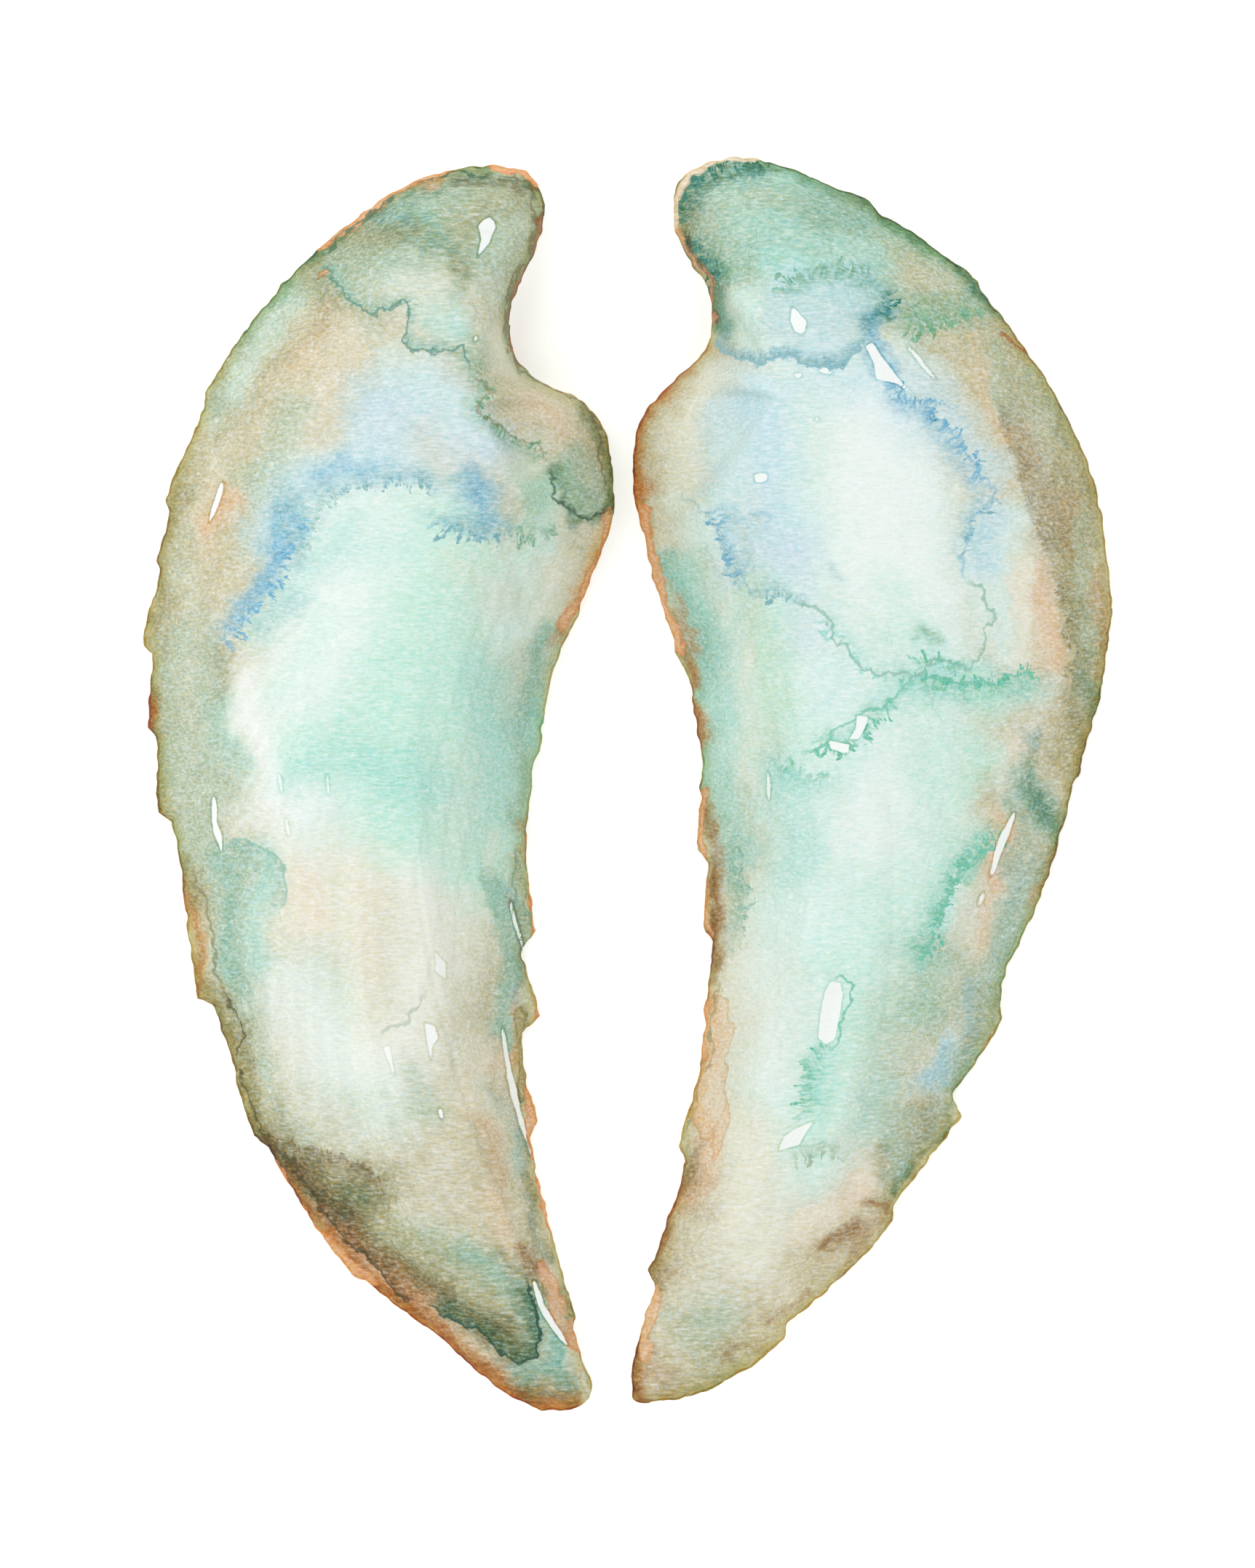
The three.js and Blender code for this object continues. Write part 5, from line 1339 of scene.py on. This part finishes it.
right.washes(
    ("blue", 0.4, 0.5, 1.6, (11, 31.2), (14, 31.4), (16.4, 30.8)),
    ("slate", 0.4, 0.4, 1.4, (25.4, 25.2), (26.4, 24.4)),
    ("slate", 0.35, 0.6, 2, (7, 35.2), (9.5, 35.4)))
# The hinge side: a peach and rust edge, mint and teal inside it.
right.washes(
    ("cream", 0.8, 2.2, 5, (9, 47), (6, 42), (6, 37)),
    ("sky", 0.5, 2, 4.5, (10.6, 42), (10, 36), (10, 29)),
    ("pale aqua", 0.5, 1.8, 4, (11.4, 40), (11.6, 34), (12, 27)),
    ("pale aqua", 0.5, 1.4, 3, (33, 51.4), (36, 49)),
    ("sky", 0.35, 2.5, 5, (17, 46), (16, 38)),
    ("pale aqua", 0.5, 1.2, 3.5, (41.4, 30), (41.4, 25.6)),
    ("sky", 0.5, 1, 3, (11.4, 28), (12.4, 23.4)),
    ("sky", 0.35, 1.2, 3, (11, 38), (11, 33.6)),
    ("pale aqua", 0.35, 1, 3, (8, 31.6), (8, 28)),
    ("sky", 0.4, 1, 3, (41, 37.4), (41.4, 34)),
    ("sky", 0.25, 2, 5, (17, 33), (18, 26)),
    ("pale aqua", 0.4, 1.4, 3.4, (43, 23), (43.4, 19)),
    ("aqua", 0.4, 1, 3, (14.4, 22.4), (14, 19)),
    ("pale aqua", 0.6, 1.6, 4, (8.6, 34), (9, 29)),
    ("tan", 0.6, 1.4, 3, (7, 48), (3.4, 42), (3, 36), (3.5, 31)),
    ("sand", 0.5, 1, 3, (6, 40), (6, 32)),
    ("rust", 0.75, 0.8, 2.4, (6.5, 48.8), (2.8, 44.4), (1, 40), (1.2, 35), (2, 30)),
    ("sepia", 0.2, 0.3, 1.6, (2.6, 44.6), (1, 40), (1.2, 36)),
    ("apricot", 0.4, 0.5, 1.4, (1.2, 37.5), (1.5, 33)),
    ("tan", 0.5, 0.8, 2.6, (11, 52), (6.5, 49.4)),
    ("tan", 0.35, 1, 2.6, (10.4, 51.6), (7.6, 50.2)),
    ("rust", 0.3, 0.6, 2, (2.2, 42), (2, 34)),
    ("rust", 0.3, 0.4, 1.8, (9, 51), (6, 48.6), (3, 45)),
    ("rust", 0.25, 0.6, 2.2, (1.4, 41), (1.4, 35)),
    ("cream", 0.4, 1.4, 3.4, (6.4, 42), (6, 34)),
    ("pale aqua", 0.35, 1, 3, (5.6, 34.4), (6.4, 31)),
    ("teal", 0.8, 1.6, 3.2, (5.2, 25.6), (7.6, 22), (8.6, 17), (9.8, 12)),
    ("aqua", 0.6, 2, 4, (8, 25), (11, 16), (11.5, 8)),
    ("blush", 0.3, 0.4, 1.6, (10.8, 21.6), (12, 21.3)),
    ("sepia", 0.55, 0.3, 1.6, (5.4, 21), (7, 16), (8.2, 11.5)),
    ("rust", 0.4, 0.4, 1.6, (7.6, 14), (8.6, 9)),
    ("teal", 0.55, 1.5, 4, (10.2, 6), (11.3, -2), (12.5, -9)),
    ("aqua", 0.5, 1.5, 4.5, (13, 10), (13, 0), (14, -8)),
    ("aqua", 0.25, 1.4, 3.4, (13, 7), (13, -3)),
    ("aqua", 0.35, 1.5, 4.5, (17, -2), (18.5, -11)),
    ("peach", 0.5, 0.7, 2, (9.2, 8), (9.2, 2)),
    ("olive", 0.5, 0.8, 2.4, (9.8, 1), (9.8, -6)),
    ("sepia", 0.5, 0.9, 2.2, (8.3, 9), (9.4, 0), (9.4, -9), (9.8, -15), (9.8, -20)),
    ("sepia", 0.4, 0.5, 2.2, (9.6, -9.6), (9.7, -17), (10.2, -23)),
    ("rust", 0.4, 0.4, 1.6, (10, -8), (10.2, -20)),
    ("umber", 0.25, 0.5, 2, (9.8, -12), (10, -21)),
    ("tan", 0.4, 0.6, 2.4, (10.2, -18.6), (10.6, -23)),
    ("sepia", 0.2, 0.5, 2.2, (10.4, -19), (10.6, -23)),
    ("sepia", 0.2, 0.7, 2, (8.8, 4), (9, -1)),
    ("tan", 0.2, 0.8, 2.4, (8.2, 10), (8.8, 5)))
right.bloom("teal", 0.45, -4, (12, -6), (13.6, -9.6), (14.8, -12.6), (15, -14.6), (13.6, -17), (12, -18.4))
right.washes(
    ("sepia", 0.16, 1, 3, (9.6, -25), (8.4, -37)),
    ("sea green", 0.6, 0.9, 2.5, (13, -11), (13, -18)),
    ("peach", 0.7, 1.2, 2.4, (10.6, -26), (10, -34), (9, -42), (8, -50)),
    ("sepia", 0.3, 0.2, 1.4, (10.2, -33), (8.4, -41), (6.6, -46)),
    ("tan", 0.4, 1, 3, (10, -30), (8.8, -40)),
    ("tan", 0.35, 1.5, 3.5, (9, -49), (7, -57)),
    ("sepia", 0.35, 0.2, 1.4, (6.5, -50), (4.6, -57)))
# Pale brown and grey-green bands down the outer side.
right.washes(
    ("sand", 0.7, 1.4, 3, (46.4, -3), (45.8, -8), (44.5, -14), (42.5, -19)),
    ("sea green", 0.5, 0.9, 2.8, (48.6, -5), (47.2, -12), (44.2, -20)),
    ("peach", 0.5, 0.7, 2, (45.8, -4.5), (44.8, -9), (42.8, -15), (41.6, -22)),
    ("olive", 0.3, 0.8, 2.4, (44.4, 0), (44.6, -3)),
    ("sea green", 0.8, 1.8, 3.5, (50, -9), (47.5, -16), (45, -24)),
    ("olive", 0.4, 0.8, 2.5, (51, -6), (49, -14)),
    ("slate", 0.25, 1.4, 3.4, (47.4, -10), (45.4, -18), (42.8, -26)),
    ("teal", 0.85, 1.3, 3, (47.6, -0.5), (48.6, -3.5), (50.5, -5)),
    ("bottle", 0.55, 0.8, 2.5, (48.6, -1.4), (49.4, -4)),
    ("bottle", 0.35, 0.6, 2, (48.8, 4.4), (48.2, 0)),
    ("moss", 0.5, 0.9, 2.6, (51.4, -3.6), (50.4, -9)),
    ("rust", 0.45, 0.3, 1.4, (51.6, -5), (50.8, -8.6), (49.4, -12.6)),
    ("rust", 0.4, 0.3, 1.4, (44.4, -27.6), (43.8, -30), (42.4, -32)),
    ("slate", 0.5, 0.4, 1.8, (48.3, 5), (48.7, 3)))
right.bloom("jade", 0.6, -4, (46, -6), (43.5, -7), (41, -9), (38.5, -12), (36.8, -17), (34.5, -21.5))
right.washes(
    ("jade", 0.5, 1, 2.5, (42.5, -9), (40.5, -11.5)),
    ("aqua", 0.6, 0.6, 1.4, (38, -13), (36.4, -17.6), (34.4, -21.5)),
    ("sea green", 0.55, 2, 4, (37, -20), (41, -23), (36, -29)),
    ("sea green", 0.7, 2, 4, (44, -25), (41, -32), (38, -36)),
    ("moss", 0.3, 0.8, 3, (43.5, -25), (41, -31)),
    ("slate", 0.4, 1, 3, (41, -25.5), (40.4, -29)),
    ("sky", 0.6, 1.2, 3, (37.6, -31), (36, -36)),
    ("blue", 0.25, 0.5, 2.4, (37.4, -31.6), (36, -35.6)),
    ("olive", 0.75, 1.6, 3, (36, -40), (34.5, -46), (30.5, -50)),
    ("moss", 0.3, 1.1, 3, (35, -40), (34.4, -43), (33.2, -46.8)),
    ("slate", 0.3, 1, 3, (36.6, -39.6), (33.4, -46)),
    ("sea green", 0.4, 1, 3, (46.5, -20), (45, -24)),
    ("sea green", 0.5, 1.2, 3.2, (46.6, -13), (45, -17), (43, -21.6)),
    ("slate", 0.3, 1, 3, (41, -33), (39.2, -36.6)),
    ("slate", 0.25, 1, 3, (41, -33), (39.2, -36.6)),
    ("moss", 0.16, 1, 3, (40.6, -34), (39, -36.6)),
    ("moss", 0.16, 1, 2.6, (48, -5), (47.2, -9)),
    ("sea green", 0.35, 1, 3, (41, -33), (39.2, -36.6)),
    ("teal", 0.4, 0.8, 2.6, (31.6, -41), (33, -46.5)),
    ("sea green", 0.7, 1, 3.2, (33, -40.5), (32, -43), (31.4, -46.4)),
    ("moss", 0.3, 1, 2.6, (31, -43.4), (30.8, -46)),
    ("aqua", 0.5, 1.6, 4, (31, -37), (29, -40)),
    ("bottle", 0.35, 0.3, 1.6, (38.6, -39), (36.4, -44.5), (32.4, -49.5)))
right.bloom("sea green", 0.5, 3, (19, -45), (23, -44), (27, -44.5))
right.bloom("jade", 0.45, -5, (20.8, -40.4), (20.2, -37), (20.4, -33.6), (22.6, -31.2), (24.6, -30.6))
right.washes(
    ("aqua", 0.5, 1.4, 3, (23.6, -32.5), (22.8, -37)))
# The rear: cream, brown where the washes ran together, tan to the tip.
right.washes(
    ("tan", 0.8, 2.5, 5, (28, -51), (22, -58), (14, -65), (6, -70)),
    ("sepia", 0.25, 1, 3, (3, -69), (5, -72)),
    ("blush", 0.6, 1.5, 4, (28.5, -46.5), (26, -50.5), (22, -52.5)),
    ("sepia", 0.7, 0.6, 1.8, (29, -50.6), (30.8, -51.2)),
    ("sepia", 0.3, 0.8, 2.4, (31, -52.4), (27, -56)),
    ("cream", 0.5, 1.5, 4, (19, -53), (24, -51.5)),
    ("sepia", 0.7, 0.6, 1.8, (24, -55.3), (27.2, -53.8)),
    ("sea green", 0.55, 1.8, 5, (6.5, -64), (11, -63), (9, -69)),
    ("olive", 0.6, 1.5, 3.5, (14, -66), (7, -71)),
    ("sea green", 0.3, 1, 3, (10.5, -62), (8, -65)),
    ("sepia", 0.45, 0.2, 1.2, (16, -62.8), (20.5, -60.3)),
    ("sepia", 0.4, 0.2, 1.2, (10.8, -67.8), (14.4, -65.8)),
    ("peach", 0.6, 0.5, 1.8, (22, -62), (14, -70.4), (7, -73.3)),
    ("sepia", 0.7, 0.8, 2, (1.2, -67), (1.2, -71), (2.6, -73.6)),
    ("tan", 0.5, 1.2, 3, (6.8, -46), (5.4, -53), (3.8, -59)),
    ("umber", 0.35, 0.6, 2.4, (7, -43), (6.4, -48), (4.8, -54), (3.2, -61)),
    ("rust", 0.25, 1, 3, (6, -48), (4.4, -54)),
    ("rust", 0.3, 1.2, 3, (6.4, -48), (4.4, -54)),
    ("rust", 0.14, 1, 2.6, (9.4, -26), (8.6, -31)),
    ("sepia", 0.14, 0.8, 2.4, (9.4, -26), (8.6, -30)),
    ("sepia", 0.2, 1, 3, (27.6, -56), (25.6, -58.4)),
    ("rust", 0.25, 0.6, 2.2, (3, -60.5), (1.8, -65)),
    ("cream", 0.35, 1.6, 4, (15, -57), (17.6, -60)),
    ("olive", 0.3, 1.2, 3, (6, -63.6), (4.2, -68)),
    ("tan", 0.25, 1.4, 3, (4.8, -55), (3.8, -62)),
    ("sepia", 0.22, 1.4, 3.6, (7.6, -46), (6.2, -52), (4.6, -57.5)),
    ("sepia", 0.16, 0.8, 3, (8.6, -50.6), (11, -51.4)),
    ("rust", 0.3, 0.8, 2.4, (1.8, -69.5), (2.6, -73)),
    ("deep teal", 0.4, 0.3, 1.4, (33.4, -47), (32.6, -49.4)),
    ("rust", 0.4, 0.4, 1.1, (5.9, 23), (7.2, 17.7), (8.8, 10), (9.6, 3)),
    ("blush", 0.5, 1.2, 2.5, (47, 2.5), (46.3, -0.5)),
    ("apricot", 0.35, 0.8, 2.2, (46.2, -6), (44.5, -11)),
    ("pale aqua", 0.35, 0.7, 2, (15.5, 14), (16.5, 4), (17.3, -8)),
    ("mint", 0.3, 0.8, 2, (42, -7), (41.5, -9.5)),
    ("jade", 0.25, 1.8, 4, (35.5, -22), (33.5, -28)),
    ("slate", 0.4, 1.3, 3, (37.5, -33), (35.5, -37)),
    ("sand", 0.25, 1, 2.2, (9, 66.5), (9.3, 63.5)),
    ("sepia", 0.2, 0.7, 1.6, (10.9, -16.5), (11.2, -20.5)),
    ("cream", 0.35, 0.7, 1.8, (29.6, -54.6), (27.8, -56.4)))
# Narrow glazes along the broken margin.
right.strips(
    ("blush", 0.8, 0.65, (5.7, 66), (5.8, 69.5), (7.5, 73.2), (11, 74.9), (16, 75)),
    ("apricot", 0.7, 0.45, (5.9, 67), (6.6, 65), (9, 61.4), (10, 59.4), (10.4, 55)),
    ("rust", 0.6, 0.2, (44.3, 53.6), (45.6, 52.8), (47, 51.6)),
    ("apricot", 0.85, 0.9, (1.6, 33), (3, 26), (4.8, 20), (6.4, 15.6)),
    ("apricot", 0.7, 0.6, (9.3, -0.5), (9.2, -5), (9.2, -9)),
    ("apricot", 0.6, 0.5, (9.2, -11), (9.4, -15), (9.6, -19)),
    ("apricot", 0.65, 0.8, (9.3, -26), (8.8, -32.5)),
    ("peach", 0.6, 0.6, (11.8, -38.5), (10.6, -45)),
    ("peach", 0.4, 1.6, (11.4, -26), (10.9, -31), (10.2, -37), (9.6, -42)),
    ("peach", 0.85, 0.9, (3.6, -60.5), (2.4, -65), (1.8, -68.5)))
# Thin crinkled lines.
right.lines(
    ("jade", 0.8, (34.4, -21.5), (35.2, -19), (37, -17), (36.8, -14.6), (38.4, -13), (38.2, -11.4), (40, -10.4),
        (41.2, -8.6), (43, -9.8)),
    ("slate", 0.95, (10.9, 54), (11, 51.5), (13, 50.6), (16, 50), (18.5, 50.7), (20, 50.8), (20.7, 50), (23, 49.8),
        (25, 49.4), (26, 50.5), (27.5, 52), (28, 53.5)),
    ("blue", 0.55, (30, 48), (31, 47.5), (32, 46.5), (34, 45.6), (37, 45.3), (36.5, 44), (38.5, 42), (40, 40.5),
        (40.3, 39), (41.5, 37), (43.7, 35.2), (43, 34), (42, 32.5), (41, 31.5), (41.3, 30), (40.2, 28.5),
        (39.8, 26), (39.8, 24)),
    ("deep teal", 0.6, (6.9, 66.4), (6.6, 69), (8, 72.4), (11, 74), (15, 74.3)),
    ("peat", 0.7, (6.9, 66.4), (8.6, 62.4), (10.2, 59), (10.8, 55.8), (10.9, 53.4)),
    ("moss", 0.6, (10.9, -23.6), (10.7, -26), (9.9, -30), (10.4, -32), (9.2, -35), (8.2, -38.6)),
    ("bottle", 0.6, (8.2, -38.6), (7.4, -41), (7, -43)),
    ("teal", 0.75, (39.8, 24), (42, 23.7), (42.5, 22), (43.8, 20), (43.5, 18.8), (42.7, 18), (42.8, 16),
        (41.5, 14.5), (40.5, 13.8), (38.5, 14.5), (36.5, 14.7), (35, 13.5), (34, 12.5), (31, 13), (28, 13.7),
        (26.8, 16), (26, 17), (24.5, 17), (23.7, 19.5), (22.5, 21), (20.5, 21.5), (19, 22)),
    ("slate", 0.5, (19, 22), (17.5, 22.7), (15, 22.7), (13.5, 25), (12, 25), (12, 27), (11.5, 29), (10, 31),
        (7, 34), (6.5, 35)),
    ("jade", 0.9, (34, 12.4), (37, 12.5), (39, 12.7), (41, 12.2), (44, 12), (45.5, 12.8), (48, 12.8), (50, 11.5)),
    ("jade", 0.8, (20.5, 3.5), (23, 4), (25, 6.3), (28, 8.5), (31, 10), (34, 12.2)),
    ("jade", 0.9, (44.5, -7), (42.5, -8), (41.5, -9), (38.5, -12), (36.8, -17), (34.2, -21.5)),
    ("tan", 0.7, (52, 20), (53, 16), (51.5, 14), (52.7, 12.5), (51.5, 11)),
    ("jade", 0.9, (24.5, -23), (26, -22.8), (27, -24), (26.5, -26), (25.6, -28.5), (24.8, -31), (23.8, -31.6)))
# Chalk left bare: white flecks and slivers that are also painted highlights.
right.flecks(
    ((19.6, 56.8), (19.4, 55.2), (19.9, 53.9), (20.6, 53.6), (21.1, 53.9), (21.3, 55), (20.4, 56)),
    ((28.3, 52.1), (29.1, 52.5), (30.5, 50.5), (33, 47.3), (34.9, 45.5), (32, 47.7), (29.6, 48.2), (29.3, 50.2)),
    ((19.9, 48.9), (20.7, 48.8), (20.6, 48.3), (19.9, 48.4)),
    ((22.7, 49.2), (23.6, 49.6), (24.5, 48.8), (23.3, 48.9)),
    ((22.1, 43.5), (22.7, 43.6), (22.9, 43.3), (22.4, 43.2)),
    ((35.9, 44.3), (36.2, 44), (36.8, 43.3), (36.3, 43.5)),
    ((15.2, 36), (15.1, 36.8), (15.6, 37), (16.6, 36.9), (16.6, 36.2), (16, 35.9)),
    ((27.3, 8.2), (28.6, 7.9), (28.2, 6.6), (27.5, 5.4), (26.4, 5.3), (27.2, 6.6)),
    ((23.9, 5.2), (26.4, 4.7), (26.2, 3.6), (24.2, 4.2)),
    ((24.2, -23.5), (25.3, -23.7), (25.6, -25), (25.2, -28), (24.6, -30.4), (23.6, -31), (22.7, -30.2), (23, -27.4),
        (23.5, -24.8)),
    ((18, -43.6), (18.7, -41.9), (20, -41.1), (22.1, -40.2), (21, -41.9), (20.4, -43)))
right.slivers(
    (0.45, (33.2, 52.2), (35, 50), (36.8, 48.1)),
    (0.4, (16.9, 1.4), (17, -2)),
    (0.8, (46.1, -3.4), (45, -5.6), (44.2, -7.8), (43.1, -11)),
    (0.3, (42.3, -12.8), (41.8, -14.6)))
right.soak_in(right_shell, right_facts["inside"])

raise_relief(right_shell, growth, RIGHT["seed"], shell_finish("right shell"))
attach(right_shell, "root")
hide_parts("right_valve")


# ---- The surface that the valves lie on -----------------------------------------------------------------
# A plain white board, matt, cut so wide that its edge is never seen. It glows a little of itself, as a
# light table does, so the valves' shadows on it stay faint.

FLOOR_HALF = 3.0
BOARD_WHITE, BOARD_GLOW = (0.97, 0.97, 0.97, 1.0), 0.34

floor_mesh = bpy.data.meshes.new("floor")
corners = [(x * FLOOR_HALF, y * FLOOR_HALF, 0) for x, y in ((-1, -1), (1, -1), (1, 1), (-1, 1))]
floor_mesh.from_pydata(corners, [], [(0, 1, 2, 3)])
floor = bpy.data.objects.new("floor", floor_mesh)
bpy.context.scene.collection.objects.link(floor)
board = bpy.data.materials.new("white board")
board.use_nodes = True
for socket, value in (("Base Color", BOARD_WHITE), ("Roughness", 1.0), ("Specular IOR Level", 0.0),
                      ("Emission Color", (1.0, 1.0, 1.0, 1.0)), ("Emission Strength", BOARD_GLOW)):
    board.node_tree.nodes["Principled BSDF"].inputs[socket].default_value = value
floor_mesh.materials.append(board)


# ---- The light and the camera ---------------------------------------------------------------------------
# An even white studio with one broad soft lamp from the front left. The camera looks straight down through
# a long lens, so both valves show as they lie, with hardly any perspective.

FRAME_HEIGHT = 0.1875  # what the camera takes in along the shells
LENS, SENSOR = 800.0, 36.0
NEAREST, FARTHEST = 0.01, 50.0  # what it sees between
STUDIO_LIGHT = 0.88
LAMP_PLACE, LAMP_BREADTH, LAMP_POWER = (-0.55, 0.45, 0.95), 0.9, 2.6

camera = bpy.data.objects.new("camera", bpy.data.cameras.new("camera"))
camera.data.lens, camera.data.sensor_width = LENS, SENSOR
camera.location = (0.0, 0.0, FRAME_HEIGHT * LENS / SENSOR)
camera.data.clip_start, camera.data.clip_end = NEAREST, FARTHEST
bpy.context.scene.collection.objects.link(camera)
bpy.context.scene.camera = camera

studio = bpy.data.worlds.new("studio")
studio.use_nodes = True
studio.node_tree.nodes["Background"].inputs["Color"].default_value = (1, 1, 1, 1)
studio.node_tree.nodes["Background"].inputs["Strength"].default_value = STUDIO_LIGHT
bpy.context.scene.world = studio

lamp = bpy.data.objects.new("soft lamp", bpy.data.lights.new("soft lamp", "AREA"))
lamp.data.shape, lamp.data.size, lamp.data.energy = "DISK", LAMP_BREADTH, LAMP_POWER
lamp.location = LAMP_PLACE
lamp.rotation_euler = (-lamp.location).to_track_quat("-Z", "Y").to_euler()
bpy.context.scene.collection.objects.link(lamp)
bpy.context.scene.view_settings.view_transform = "Standard"
